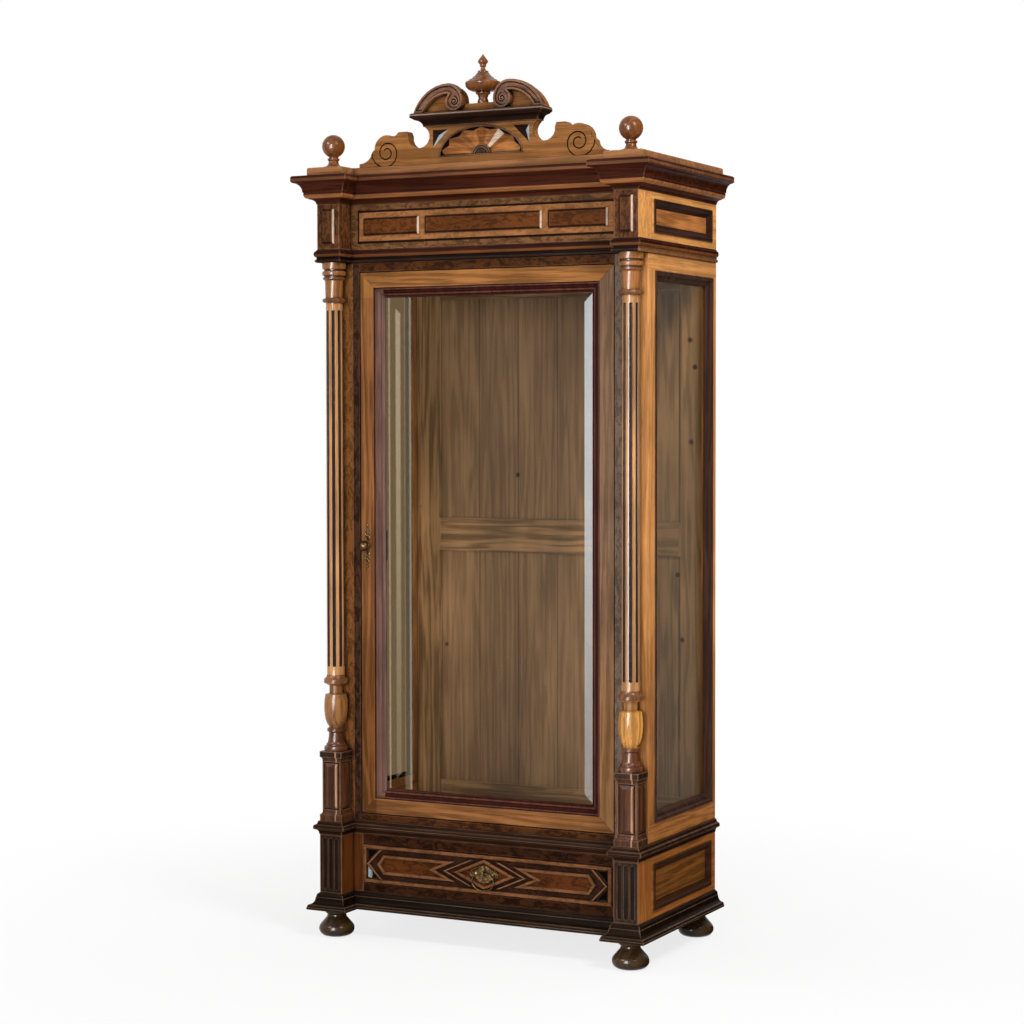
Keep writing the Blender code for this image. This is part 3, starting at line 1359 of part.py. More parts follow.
def make_crest_board():
    half = crest_half_outline()
    outline = half + [(-x, z) for x, z in reversed(half[1:])]
    place = front_plane(CREST_FRONT_Y)
    profile = [(x, CREST_Z + GAP + z) for x, z in outline]
    rings = [placed(place, profile, depth) for depth in (0, CREST_THICKNESS)]
    crest = add_object("crest_board", loft(rings), "light_walnut")
    depths = (-UNION_DEPTH, LUNETTE_SINK)
    cut(crest, loft([placed(place, lunette_outline(0), depth) for depth in depths]))
    for sign in (-1, 1):
        triangle = (
            (sign * SPANDREL_OUTER_X, CREST_Z + SPANDREL_TOP),
            (sign * SPANDREL_INNER_X, CREST_Z + SPANDREL_TOP),
            (sign * SPANDREL_OUTER_X, CREST_Z + SPANDREL_BOTTOM),
        )
        cut(crest, pocket(place, triangle, SPANDREL_SINK, SPANDREL_SLOPE))
        centre = (sign * HUMP_X, CREST_Z + WING_SPIRAL_Z)
        turn = (WING_SPIRAL_RADIUS, WING_SPIRAL_START, WING_SPIRAL_TURNS)
        cut(crest, spiral_groove(place, centre, *turn, sign))


def lunette_outline(shrink):
    """Half ellipse that holds the fan."""
    radii = (LUNETTE_HALF_WIDTH - shrink, LUNETTE_HEIGHT - shrink)
    return arc((0, CREST_Z + LUNETTE_Z), radii, 0, 180, ARC_STEPS * 2)


def make_crest_shelf():
    """Moulded shelf across the crest under the arches, returned round the board's ends."""
    board_half = CREST_NECK_HALF + GAP
    board_front = CREST_FRONT_Y - GAP
    back = CREST_FRONT_Y + CREST_THICKNESS
    rings = []
    for share, up in moulding(SHELF_PROFILE, 1, SHELF_HEIGHT):
        half = CREST_NECK_HALF + SHELF_LEDGE + share * (SHELF_OVERHANG - SHELF_LEDGE)
        front = board_front - SHELF_LEDGE - share * (SHELF_PROJECTION - SHELF_LEDGE)
        outline = (
            (half, front),
            (half, back),
            (board_half, back),
            (board_half, board_front),
            (-board_half, board_front),
            (-board_half, back),
            (-half, back),
            (-half, front),
        )
        rings.append([(x, y, SHELF_Z + up) for x, y in outline])
    add_object("crest_shelf", loft(rings), "ebonised")


def make_crest_scroll(name, sign):
    """Half of the broken arch: a moulded band that ends in a spiral scroll."""
    outline = arch_curve(0)
    outline += arc((SCROLL_X, SCROLL_Z), (SCROLL_RADIUS, SCROLL_RADIUS), 180, 405, 12)[1:]
    outline += reversed(arch_arc(ARCH_BAND))
    foot = ARCH_Z + GAP
    outline = [(sign * x, foot + z) for x, z in outline]
    place = front_plane(CREST_FRONT_Y - GAP)
    step = ARCH_FILLET_STEP
    steps = (
        (0, 0),
        (0, step - ARCH_DEPTH),
        (ARCH_FILLET * 0.4, -ARCH_DEPTH),
        (ARCH_FILLET, -ARCH_DEPTH),
        (ARCH_FILLET + step * 0.4, step - ARCH_DEPTH),
        (ARCH_FILLET + step, step * 0.6 - ARCH_DEPTH),
    )
    rings = [placed(place, inset_outline(outline, margin), depth) for margin, depth in steps]
    scroll = add_object(name, loft(rings), "walnut")
    face = front_plane(CREST_FRONT_Y - GAP - ARCH_DEPTH + step * 0.6)
    centre = (sign * SCROLL_X, foot + SCROLL_Z)
    turn = (SCROLL_GROOVE_RADIUS, SCROLL_GROOVE_START, SCROLL_GROOVE_TURNS)
    cut(scroll, spiral_groove(face, centre, *turn, sign))


def make_crest_fan():
    """Carved fan of ridged petals round a half-round hub."""
    centre = CREST_Z + LUNETTE_Z
    radii = (LUNETTE_HALF_WIDTH - FAN_MARGIN, LUNETTE_HEIGHT - FAN_MARGIN)
    place = front_plane(CREST_FRONT_Y + LUNETTE_SINK - GAP)
    rings = []
    for k in range(2 * FAN_PETALS + 1):
        t = math.pi * k / (2 * FAN_PETALS)
        ridge = k % 2 == 1
        reach = 1.0 if ridge else FAN_SCALLOP
        depth = -FAN_RISE if ridge else -FAN_BACK
        ring = []
        for share, level in ((FAN_EYE, 0), (reach, 0), (reach, depth), (FAN_EYE, -FAN_BACK)):
            u = radii[0] * share * math.cos(t)
            v = centre + GAP + radii[1] * share * math.sin(t)
            ring.append(place(u, v, level))
        rings.append(ring)
    fan = add_object("crest_fan", loft(rings), "golden_walnut")
    hub = arc((0, centre + GAP), (FAN_HUB, FAN_HUB), 0, 180)
    depths = (-FAN_BACK / 2, -FAN_RISE)
    join(fan, loft([placed(place, hub, depth) for depth in depths]))


def finial_profile():
    """Spool, shallow bowl with a conical lid, and a pointed bulb."""
    dome = FINIAL_DOME_RADIUS
    level = FINIAL_DOME_LEVEL
    lid = FINIAL_DOME_HEIGHT
    stem = FINIAL_STEM_HEIGHT
    foot = FINIAL_FOOT_RADIUS
    neck = FINIAL_NECK_RADIUS
    bulb = FINIAL_BULB_RADIUS
    tall = FINIAL_BULB_HEIGHT
    top = level + lid
    start = top + FINIAL_NECK_HEIGHT
    profile = [(0, 0), (foot, 0), (foot, stem * 0.22), (foot * 0.80, stem * 0.55), (foot, stem * 0.90)]
    profile += [(foot * 1.30, stem), (foot * 1.36, stem * 1.12), (foot * 1.22, stem * 1.22)]
    profile += quarter(profile[-1], (dome, level), False)
    profile += [(dome * share, level + lid * up) for share, up in FINIAL_LID]
    profile += [(dome * 0.30, top), (neck * 1.15, top + lid * 0.10)]
    profile += [(neck, start - lid * 0.18), (neck * 1.5, start - lid * 0.10), (neck * 1.4, start)]
    profile += arc((0, start + tall * 0.30), (bulb, tall * 0.30), -48, 30, 5)
    return profile + [(bulb * 0.40, start + tall * 0.74), (0, start + tall)]


def make_crest():
    make_crest_board()
    make_crest_shelf()
    make_crest_fan()
    for side, sign in (("left", -1), ("right", 1)):
        make_crest_scroll(f"crest_scroll_{side}", sign)
    foot = ARCH_Z + GAP + SADDLE_HEIGHT + 2 * GAP
    place = (0, CREST_MIDDLE_Y, foot)
    add_object("centre_finial", turned(finial_profile(), TURNED_SIDES), "walnut", True, place)


def main():
    clear_scene()
    make_base()
    make_drawer()
    make_case()
    make_door()
    make_top()
    make_crest()


main()
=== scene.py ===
import bpy
import bmesh
import json
import math
from mathutils import Matrix, Vector

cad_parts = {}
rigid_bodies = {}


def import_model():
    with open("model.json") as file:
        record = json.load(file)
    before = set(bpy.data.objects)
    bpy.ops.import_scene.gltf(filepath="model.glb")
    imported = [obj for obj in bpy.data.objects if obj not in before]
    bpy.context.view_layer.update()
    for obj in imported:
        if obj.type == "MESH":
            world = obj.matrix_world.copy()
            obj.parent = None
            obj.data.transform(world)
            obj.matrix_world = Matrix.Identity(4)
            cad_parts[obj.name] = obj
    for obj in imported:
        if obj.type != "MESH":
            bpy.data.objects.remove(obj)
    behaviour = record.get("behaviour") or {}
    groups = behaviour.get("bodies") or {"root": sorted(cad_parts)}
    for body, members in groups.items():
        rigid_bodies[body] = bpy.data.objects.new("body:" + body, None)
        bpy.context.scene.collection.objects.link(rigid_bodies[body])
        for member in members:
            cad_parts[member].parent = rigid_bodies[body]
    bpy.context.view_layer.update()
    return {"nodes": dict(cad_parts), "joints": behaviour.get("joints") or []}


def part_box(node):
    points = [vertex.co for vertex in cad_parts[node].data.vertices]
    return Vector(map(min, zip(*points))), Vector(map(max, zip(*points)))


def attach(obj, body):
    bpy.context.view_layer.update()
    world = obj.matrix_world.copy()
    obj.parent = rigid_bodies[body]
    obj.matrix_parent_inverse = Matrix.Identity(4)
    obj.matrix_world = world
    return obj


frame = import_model()

# Camera, as fitted to the photograph
CAMERA_PLACE = (3.2225, -6.3214, 1.558)
CAMERA_TURN = 27.0399
CAMERA_DOWN = 2.2311
CAMERA_ROLL = -0.0834
SENSOR = 36.0
IMAGE_WIDTH = 1024
FOCAL_PIXELS = 2367.13

# Light: lamps with their place, size and power, what they point at, and the world's own light
KEY_LAMP = (3.1, -1.7, 4.4), (1.1, 1.6), 140.0
FILL_LAMP = (1.2, -6.1, 1.6), (2.4, 2.4), 180.0
LEFT_LAMP = (-5.0, -1.0, 2.4), (2.5, 2.5), 100.0
BACK_LAMP = (1.5, 5.5, 3.0), (3.0, 2.5), 70.0
STREAK_LAMP = (0.1, -6.4, 2.0), (2.0, 4.0), 1150.0
RIM_LAMP = (-3.3, -5.6, 5.4), (2.2, 1.2), 260.0
LIGHT_AIM = (0.0, 0.0, 1.3)
WORLD_DIFFUSE = 0.31

# Floor
FLOOR_HALF = 30.0
FLOOR_WHITE = 0.90
FLOOR_NEAR, FLOOR_FAR = 0.6, 2.6
FLOOR_GLOW = 0.78

# Edges of the wooden pieces
EDGE_WELD = 1e-5
EDGE_BEVEL = 0.0008
EDGE_SEGMENTS = 2
EDGE_ANGLE = math.radians(34)

# How side faces, outer edges and corners are told apart
SIDEWAYS = (0.55, 0.92)
OUTER_EDGE = (0.60, 0.93)
OCCLUSION_SAMPLES = 6

# Planes of the part that colours change at
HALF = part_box("base_post_right")[1].x
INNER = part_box("base_post_right")[0].x
BLOCK_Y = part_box("base_post_right")[0].y
FACE_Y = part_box("front_post_right")[0].y
CREST_Y = -0.206
CREST_BACK_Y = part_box("crest_board")[1].y
BACK_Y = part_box("back_panel")[1].y

# A small step past a plane, and depths beyond the part's front and back
STEP = 0.0006
FRONT_END, BACK_END = -1.0, 1.0


def linear(red, green, blue):
    """An sRGB colour, 0 to 255, as the linear colour that the nodes use."""
    def one(value):
        share = value / 255
        return share / 12.92 if share <= 0.04045 else ((share + 0.055) / 1.055) ** 2.4
    return one(red), one(green), one(blue), 1.0


class Nodes:
    """One material's node tree, with short ways to add and link nodes."""

    def __init__(self, name):
        self.material = bpy.data.materials.new(name)
        self.material.use_nodes = True
        self.tree = self.material.node_tree
        self.tree.nodes.clear()
        self.output = self.add("ShaderNodeOutputMaterial")
        self.place = self.add("ShaderNodeTexCoord").outputs["Object"]
        split = self.add("ShaderNodeSeparateXYZ", Vector=self.place)
        self.x, self.y, self.z = split.outputs
        self.side = self.math("ABSOLUTE", self.x)

    def put(self, socket, value):
        """Links a socket or sets a plain value."""
        if isinstance(value, bpy.types.NodeSocket):
            self.tree.links.new(value, socket)
        else:
            socket.default_value = value

    def add(self, kind, settings=(), **inputs):
        node = self.tree.nodes.new(kind)
        for key, value in dict(settings).items():
            setattr(node, key, value)
        for key, value in inputs.items():
            self.put(node.inputs[key.replace("_", " ")], value)
        return node

    def fill(self, node, *values):
        """Links or sets a node's inputs in their order."""
        for socket, value in zip(node.inputs, values):
            self.put(socket, value)
        return node.outputs[0]

    def math(self, operation, *values, clamp=False):
        node = self.add("ShaderNodeMath", {"operation": operation, "use_clamp": clamp})
        return self.fill(node, *values)

    def ramp(self, value, low, high, to_low=0.0, to_high=1.0):
        """A smooth step of a value between two limits."""
        node = self.add("ShaderNodeMapRange", {"interpolation_type": "SMOOTHSTEP"})
        return self.fill(node, value, low, high, to_low, to_high)

    def mix(self, share, first, second, blend="MIX"):
        node = self.add("ShaderNodeMix", {"data_type": "RGBA", "blend_type": blend})
        self.put(node.inputs[0], share)
        self.put(node.inputs[6], first)
        self.put(node.inputs[7], second)
        return node.outputs[2]

    def blend(self, share, first, second):
        """A mix of two plain values."""
        node = self.add("ShaderNodeMix", {"data_type": "FLOAT"})
        self.put(node.inputs[0], share)
        self.put(node.inputs[2], first)
        self.put(node.inputs[3], second)
        return node.outputs[0]

    def shaded(self, colour, *shades):
        """A colour made darker or paler by plain factors."""
        total = self.both(*shades)
        grey = self.add("ShaderNodeCombineXYZ", X=total, Y=total, Z=total).outputs[0]
        return self.mix(1.0, colour, grey, "MULTIPLY")

    def noise(self, vector, scale, detail=3.0, roughness=0.5, distortion=0.0):
        node = self.add("ShaderNodeTexNoise", Vector=vector, Scale=scale, Detail=detail,
                        Roughness=roughness, Distortion=distortion)
        return node.outputs[0]

    def grain(self, axis, along, across, detail, roughness, distortion=0.0):
        """Noise drawn out along one axis."""
        node = self.add("ShaderNodeVectorMath", {"operation": "MULTIPLY"})
        factors = [along if letter == axis else across for letter in "XYZ"]
        return self.noise(self.fill(node, self.place, factors), 1.0, detail, roughness, distortion)

    def fold(self, operation, values):
        """One operation on several values in turn."""
        total = values[0]
        for value in values[1:]:
            total = self.math(operation, total, value)
        return total

    def both(self, *masks):
        return self.fold("MULTIPLY", masks)

    def either(self, *masks):
        return self.fold("MAXIMUM", masks)

    def lowest(self, *values):
        return self.fold("MINIMUM", values)

    def minus(self, first, second):
        return self.math("SUBTRACT", first, second)

    def below(self, value, limit):
        return self.math("LESS_THAN", value, limit)

    def above(self, value, limit):
        return self.math("GREATER_THAN", value, limit)

    def between(self, value, low, high):
        return self.both(self.above(value, low), self.below(value, high))

    def squares(self, across, rise):
        """The sum of two squares."""
        return self.math("ADD", self.math("POWER", across, 2.0), self.math("POWER", rise, 2.0))

    def front_share(self):
        """0 on faces turned to the left or right, 1 on the others."""
        normal = self.add("ShaderNodeNewGeometry").outputs["Normal"]
        across = self.add("ShaderNodeSeparateXYZ", Vector=normal).outputs["X"]
        return self.ramp(self.math("ABSOLUTE", across), *SIDEWAYS, 1.0, 0.0)

    def occlusion(self, reach, inside):
        settings = {"samples": OCCLUSION_SAMPLES, "inside": inside}
        return self.add("ShaderNodeAmbientOcclusion", settings, Distance=reach).outputs["AO"]

    def dirt_and_shade(self, reach, low, high, shade):
        """A factor of 1 on open surfaces that falls to a shade in corners, for dirt there and for painted
        shade.
        """
        return self.ramp(self.occlusion(reach, False), low, high, shade, 1.0)

    def edge(self, reach):
        """1 along outer edges, 0 on flats."""
        return self.ramp(self.occlusion(reach, True), *OUTER_EDGE, 1.0, 0.0)

    def bump(self, height, strength, distance):
        node = self.add("ShaderNodeBump", Strength=strength, Distance=distance, Height=height)
        return node.outputs[0]

    def principled(self, colour, roughness, normal, **plain):
        """The main shader, with plain values on its own sockets."""
        return self.add("ShaderNodeBsdfPrincipled", Base_Color=colour, Roughness=roughness,
                        Normal=normal, **plain)

    def mix_shaders(self, share, first, second):
        node = self.add("ShaderNodeMixShader")
        self.fill(node, share, first.outputs[0], second.outputs[0])
        return node

    def show(self, shader):
        """Makes a shader the material's surface."""
        self.put(self.output.inputs["Surface"], shader.outputs[0])
        return self.material


# Grain: scale along and across, detail, roughness and, where it swirls, distortion
BANDS = (0.9, 15.0, 2.0, 0.5, 0.4)
FIBRES = (12.0, 420.0, 4.0, 0.6)
STREAKS = (2.2, 85.0, 3.0, 0.6)
SWIRLS = (20.0, 46.0, 6.0, 0.66, 1.6)
FINE_SWIRLS = (120.0, 260.0, 4.0, 0.6, 0.8)
PINE_CLOUDS = (1.2, 4.0, 4.0, 0.6)
SCRATCHES = (140.0, 900.0, 3.0, 0.5)

# What each kind of grain adds to a figure
GROWTH_LINES = 46.0
LINE_SHARE, FIBRE_SHARE, STREAK_SHARE = 0.16, 0.38, 0.56
SWIRL_RANGE, SWIRL_SHARE, FINE_SHARE = (0.26, 0.74), 0.66, 0.44
EYE_SCALE, EYE_RANGE, EYE_SHADE = 70.0, (0.05, 0.24), 0.7


def straight_figure(n, axis):
    """Long bands, growth lines and fibres that run along one axis."""
    lines = n.math("SINE", n.math("MULTIPLY", n.grain(axis, *BANDS), GROWTH_LINES))
    lines = n.math("MULTIPLY_ADD", lines, 0.5, 0.5)
    fibre = n.grain(axis, *FIBRES)
    total = n.math("MULTIPLY", lines, LINE_SHARE)
    total = n.math("MULTIPLY_ADD", fibre, FIBRE_SHARE, total)
    return n.math("MULTIPLY_ADD", n.grain(axis, *STREAKS), STREAK_SHARE, total), fibre


def burl_figure(n, axis):
    """Swirled clouds, drawn out a little along one axis, with small dark eyes."""
    fine = n.grain(axis, *FINE_SWIRLS)
    eyes = n.add("ShaderNodeTexVoronoi", Vector=n.place, Scale=EYE_SCALE).outputs["Distance"]
    eyes = n.math("MULTIPLY_ADD", n.ramp(eyes, *EYE_RANGE), 1.0 - EYE_SHADE, EYE_SHADE)
    total = n.math("MULTIPLY", n.ramp(n.grain(axis, *SWIRLS), *SWIRL_RANGE), SWIRL_SHARE)
    total = n.math("MULTIPLY_ADD", fine, FINE_SHARE, total)
    return n.math("MULTIPLY", total, eyes), fine


FIGURES = {"straight": straight_figure, "burl": burl_figure}
FIGURE_RANGE = {"straight": (0.44, 0.66), "burl": (0.40, 0.66)}

# Polish: noises as scale, detail and roughness; dirt with painted shade in corners and creases as reach
# and range; ranges, and shades they give
BLOTCHES, BLOTCH_RANGE, BLOTCH_SHADES = (5.5, 3.0, 0.55), (0.30, 0.72), (0.84, 1.14)
PORE_RANGE, PORE_SHADES = (0.34, 0.48), (0.78, 1.0)
# Darkening in corners and along joints: partly dirt and dark joints, partly painted shade
WOOD_DIRT_AND_SHADE, WOOD_JOINTS_AND_SHADE = (0.020, 0.22, 0.94), (0.007, 0.30, 0.85)
# Pale edges: partly rubbed polish, partly a painted highlight
RUB_AND_LIGHT_REACH, RUB_AND_LIGHT_SCALE, RUB_AND_LIGHT_RANGE, RUB_AND_LIGHT_SHARES = 0.0046, 14.0, (0.3, 0.6), (0.45, 1.0)
SMEARS, SMEAR_ROUGHNESS, SMEAR_MEAN = (9.0, 4.0, 0.6), 0.22, 0.14
FIBRE_ROUGHNESS = 0.08
PORE_HEIGHT, FIBRE_HEIGHT = 0.7, 0.5
WOOD_BUMP = (0.2, 0.0006)
WORN_AND_LIT = (176, 136, 108)


def spread_tones(tone, spread):
    """The dark and the pale end of a wood's tone."""
    middle = linear(*tone)
    return tuple(tuple(value * factor for value in middle[:3]) + (1.0,)
                 for factor in (1 - spread, 1 + spread))


def change_tones(n, tones, share, tone, spread):
    """The dark and the pale tone, changed to those of another wood where a mask says so."""
    return tuple(n.mix(share, old, new) for old, new in zip(tones, spread_tones(tone, spread)))


def turn_grain(n, figure, axis, share, pattern, fibre):
    """Lets the grain run along another axis where a mask says so."""
    other_pattern, other_fibre = FIGURES[figure](n, axis)
    return n.blend(share, pattern, other_pattern), n.blend(share, fibre, other_fibre)


def rubbed_and_lit_edges(n, wear_and_highlight):
    """Outer edges, where the polish is rubbed away in patches and painted paler as a highlight."""
    patches = n.ramp(n.noise(n.place, RUB_AND_LIGHT_SCALE), *RUB_AND_LIGHT_RANGE, *RUB_AND_LIGHT_SHARES)
    return n.both(n.edge(RUB_AND_LIGHT_REACH), patches, wear_and_highlight)


def wood_shades(n, pores, crevice, lines):
    """Factors for blotches, pores, dirt and painted shade in corners, and dark joints with painted shade
    in creases.
    """
    blotch = n.ramp(n.noise(n.place, *BLOTCHES), *BLOTCH_RANGE, *BLOTCH_SHADES)
    return blotch, pores, n.dirt_and_shade(*WOOD_DIRT_AND_SHADE, 1.0 - crevice), n.dirt_and_shade(*WOOD_JOINTS_AND_SHADE, 1.0 - lines)


def polish(n, colour, fibre, pores, rough, gloss):
    """The surface: smears, open pores, and gloss on all but the faces turned to the left or right."""
    smear = n.noise(n.place, *SMEARS)
    roughness = n.math("MULTIPLY_ADD", smear, SMEAR_ROUGHNESS, rough - SMEAR_MEAN)
    roughness = n.math("MULTIPLY_ADD", fibre, FIBRE_ROUGHNESS, roughness)
    height = n.math("MULTIPLY_ADD", pores, PORE_HEIGHT, n.math("MULTIPLY", fibre, FIBRE_HEIGHT))
    bump = n.bump(height, *WOOD_BUMP)
    surface = n.principled(colour, roughness, bump, Specular_IOR_Level=gloss)
    n.put(surface.inputs["Specular IOR Level"], n.math("MULTIPLY", n.front_share(), gloss))
    return n.show(surface)


def wood(name, axis, tone, spread=0.24, figure="straight", zones=(), cross=None, rough=0.44,
         gloss=0.012, crevice=0.78, lines=0.68, wear_and_highlight=0.12, worn_and_lit=WORN_AND_LIT):
    """A polished wood: figure, pores, blotches, crevices darkened with dirt and painted shade, edges
    paled by wear and a painted highlight, and zones of other tones.
    """
    n = Nodes(name)
    pattern, fibre = FIGURES[figure](n, axis)
    if cross:
        mask, cross_axis = cross
        pattern, fibre = turn_grain(n, figure, cross_axis, mask(n), pattern, fibre)
    tones = spread_tones(tone, spread)
    for mask, zone_tone, zone_spread in zones:
        tones = change_tones(n, tones, mask(n), zone_tone, zone_spread)
    colour = n.mix(n.ramp(pattern, *FIGURE_RANGE[figure]), *tones)
    colour = n.mix(rubbed_and_lit_edges(n, wear_and_highlight), colour, linear(*worn_and_lit))
    pores = n.ramp(fibre, *PORE_RANGE, *PORE_SHADES)
    colour = n.shaded(colour, *wood_shades(n, pores, crevice, lines))
    return polish(n, colour, fibre, pores, rough, gloss)


# Zones of other tones

def level_bands(*spans):
    """A mask of level bands, each between two heights."""
    def mask(n):
        return n.either(*[n.between(n.z, low, high) for low, high in spans])
    return mask


def depth_band(front, back):
    """A mask of what lies between two planes, one behind the other."""
    def mask(n):
        return n.between(n.y, front, back)
    return mask


SIDE_EDGE_Y = (-0.146, 0.289)
SIDE_EDGE_Z = (0.402, 1.984)
SIDE_RIM_Y = (-0.142, 0.285)
SIDE_RIM_Z = (0.406, 1.9797)
SIDE_LOW_Z = (1.2, 0.36)
SIDE_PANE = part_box("side_glass_right")[1].x


def side_moulding(n):
    """The moulding round the side glass: proud of the frame's face, sunk below it or level with it."""
    proud = n.above(n.side, HALF + STEP)
    sunk = n.between(n.side, SIDE_PANE + 2 * STEP, HALF - STEP)
    inside = n.both(n.between(n.y, *SIDE_EDGE_Y), n.between(n.z, *SIDE_EDGE_Z))
    rim = n.both(n.between(n.y, *SIDE_RIM_Y), n.between(n.z, *SIDE_RIM_Z))
    level = n.both(n.above(n.side, HALF - 2 * STEP), rim)
    return n.either(n.both(n.either(proud, sunk), inside), level)


def side_low_shade(n):
    """The lower part of a side frame, painted darker as shade."""
    return n.ramp(n.z, *SIDE_LOW_Z)


def side_rails(n):
    """The upper and lower rails of a side frame, whose grain runs front to back."""
    return n.either(n.above(n.z, SIDE_EDGE_Z[1]), n.below(n.z, SIDE_EDGE_Z[0]))


PANEL_SINK = 0.009
PANEL_INSET = 0.035
PANEL_FRONT, PANEL_BACK = FACE_Y + PANEL_INSET, 0.281
PANEL_RIM_Y = (-0.1497, 0.278)
PANEL_MARGIN = 0.021
PANEL_BOARDS = [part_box(node) for node in ("frieze_side_right", "base_side_right")]


def panel_moulding(n):
    """The sloping moulding of a sunk side panel, and its top where that is level with the board."""
    proud = n.above(n.side, HALF + STEP)
    slope = n.between(n.side, HALF - PANEL_SINK + STEP, HALF - STEP)
    inside = n.between(n.y, PANEL_FRONT, PANEL_BACK)
    spans = [n.between(n.z, low.z + PANEL_MARGIN, high.z - PANEL_MARGIN) for low, high in PANEL_BOARDS]
    level = n.both(n.above(n.side, HALF - 2 * STEP), n.between(n.y, *PANEL_RIM_Y), n.either(*spans))
    return n.either(n.both(n.either(proud, slope), inside), level)


def panel_field(n):
    """The flat field of a sunk side panel."""
    return n.both(n.between(n.side, HALF - PANEL_SINK - STEP, HALF - PANEL_SINK + STEP),
                  n.between(n.y, PANEL_FRONT, PANEL_BACK))


POST_RETURN = 0.037


def post_outside(n):
    return n.above(n.side, HALF - STEP)


def post_return(n):
    """The strip of a base post that is nearest to the drawer."""
    return n.below(n.side, INNER + POST_RETURN)


COLUMN_X, COLUMN_Y = 0.487, -0.2243
FLUTE_COUNT = 8
FLUTE_SHARE = 0.26
FLUTE_Z = (0.817, 1.886)
COLUMN_BELLY_Z = (0.630, 0.736)
COLUMN_STEM_Z = (0.736, 0.766)
COLUMN_RING_TOP = 0.792
CAPITAL_HEIGHT = 0.120
CAPITAL_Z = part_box("column_right")[1].z - CAPITAL_HEIGHT

# Darker rings of a capital, in shares of its height
CAPITAL_RINGS = ((0.0, 0.13), (0.565, 0.675), (0.795, 0.845))


def column_flute(n):
    """The flutes in a column's shaft, by the angle about its axis."""
    turn = n.math("ARCTAN2", n.minus(n.y, COLUMN_Y), n.minus(n.side, COLUMN_X))
    turn = n.math("FRACT", n.math("MULTIPLY_ADD", turn, FLUTE_COUNT / (2 * math.pi), FLUTE_COUNT))
    middle = n.math("ABSOLUTE", n.minus(turn, 0.5))
    return n.both(n.below(middle, FLUTE_SHARE), n.between(n.z, *FLUTE_Z))


def column_foot(n):
    return n.below(n.z, COLUMN_BELLY_Z[0])


def shaded_belly(n):
    """The left column's belly and stem, which are darker."""
    return n.both(n.between(n.z, COLUMN_BELLY_Z[0], COLUMN_STEM_Z[1]), n.below(n.x, 0.0))


def column_capital(n):
    return n.above(n.z, CAPITAL_Z)


column_belly = level_bands(COLUMN_BELLY_Z)
column_stem = level_bands(COLUMN_STEM_Z)
column_ring = level_bands((COLUMN_STEM_Z[1], COLUMN_RING_TOP))
column_dark_rings = level_bands(*[[CAPITAL_Z + share * CAPITAL_HEIGHT for share in ring]
                                  for ring in CAPITAL_RINGS])

PEDESTAL_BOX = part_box("pedestal_right")
PEDESTAL_MARGIN, PEDESTAL_LIP = 0.015, 0.006
PEDESTAL_X = (PEDESTAL_BOX[0].x + PEDESTAL_BOX[1].x) / 2
PEDESTAL_FIELD = (PEDESTAL_BOX[1].x - PEDESTAL_BOX[0].x) / 2 - PEDESTAL_MARGIN
PEDESTAL_FACE_Y = PEDESTAL_BOX[0].y + PEDESTAL_LIP
PEDESTAL_CAP = 0.018
PEDESTAL_GLINT = (0.004, 0.009)


def pedestal_cap(n):
    return n.above(n.z, PEDESTAL_BOX[1].z - PEDESTAL_CAP)


def pedestal_glint(n):
    """The right bevel of a pedestal's raised field."""
    middle = n.math("MULTIPLY", n.math("SIGN", n.x), PEDESTAL_X)
    from_edge = n.minus(PEDESTAL_FIELD, n.minus(n.x, middle))
    return n.both(n.between(from_edge, *PEDESTAL_GLINT), n.below(n.y, PEDESTAL_FACE_Y + STEP))


POST_SPLIT = 0.443


def right_post_sheen(n):
    """The right one of two posts, painted paler and greyer as a sheen."""
    return n.above(n.x, 0.0)


def post_board(n):
    """The plain board behind a column, beside the dark strip along the door."""
    return n.above(n.side, POST_SPLIT)


DRAWER_BAND = 0.0045
DRAWER_FIELD = 0.0016
FACET_X, FACET_Z = -0.386, 0.211

# On the drawer front: tops of the beads and bands, the ground with its sunk corners, those corners alone
drawer_band = depth_band(FRONT_END, FACE_Y - DRAWER_BAND)
drawer_ground = depth_band(FACE_Y - DRAWER_FIELD, BACK_END)
drawer_pocket = depth_band(FACE_Y + STEP, BACK_END)


def drawer_facet(n):
    """The one polished facet that catches the light, low in the left corner."""
    return n.both(drawer_pocket(n), n.below(n.x, FACET_X), n.below(n.z, FACET_Z))


FRIEZE_RISE = 0.0040
FRIEZE_GROUND = FACE_Y - FRIEZE_RISE
FRIEZE_MIDDLE = (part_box("frieze_board")[0].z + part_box("frieze_board")[1].z) / 2
FRIEZE_FRAME = (0.420, 0.044)
FRIEZE_OUTLINE = 0.0055

# The raised ground that the frieze's tablets stand on, and its sides
frieze_frame = depth_band(FRIEZE_GROUND - STEP, FRIEZE_GROUND + STEP)
frieze_line = depth_band(FRIEZE_GROUND + STEP, FACE_Y - STEP)


def frieze_outline(n):
    """The dark line on the board round the frieze's frame."""
    from_middle = n.math("ABSOLUTE", n.minus(n.z, FRIEZE_MIDDLE))
    across = n.minus(n.side, FRIEZE_FRAME[0])
    rise = n.minus(from_middle, FRIEZE_FRAME[1])
    near = n.between(n.either(across, rise), -STEP, FRIEZE_OUTLINE)
    return n.both(near, n.above(n.y, FACE_Y - STEP))


TABLET_TOP = 0.0070
TABLET_BEVEL = 0.0052


def tablets_on(ground):
    """Masks of the tablets on a ground, and of their sloping rims."""
    return depth_band(FRONT_END, ground - STEP), depth_band(ground - TABLET_TOP + STEP, ground - STEP)


def glint(bevel, *ends):
    """A mask of the sloping rims at the tablets' right ends."""
    def mask(n):
        strips = [n.between(n.x, end - TABLET_BEVEL, end + STEP) for end in ends]
        return n.both(bevel(n), n.either(*strips))
    return mask


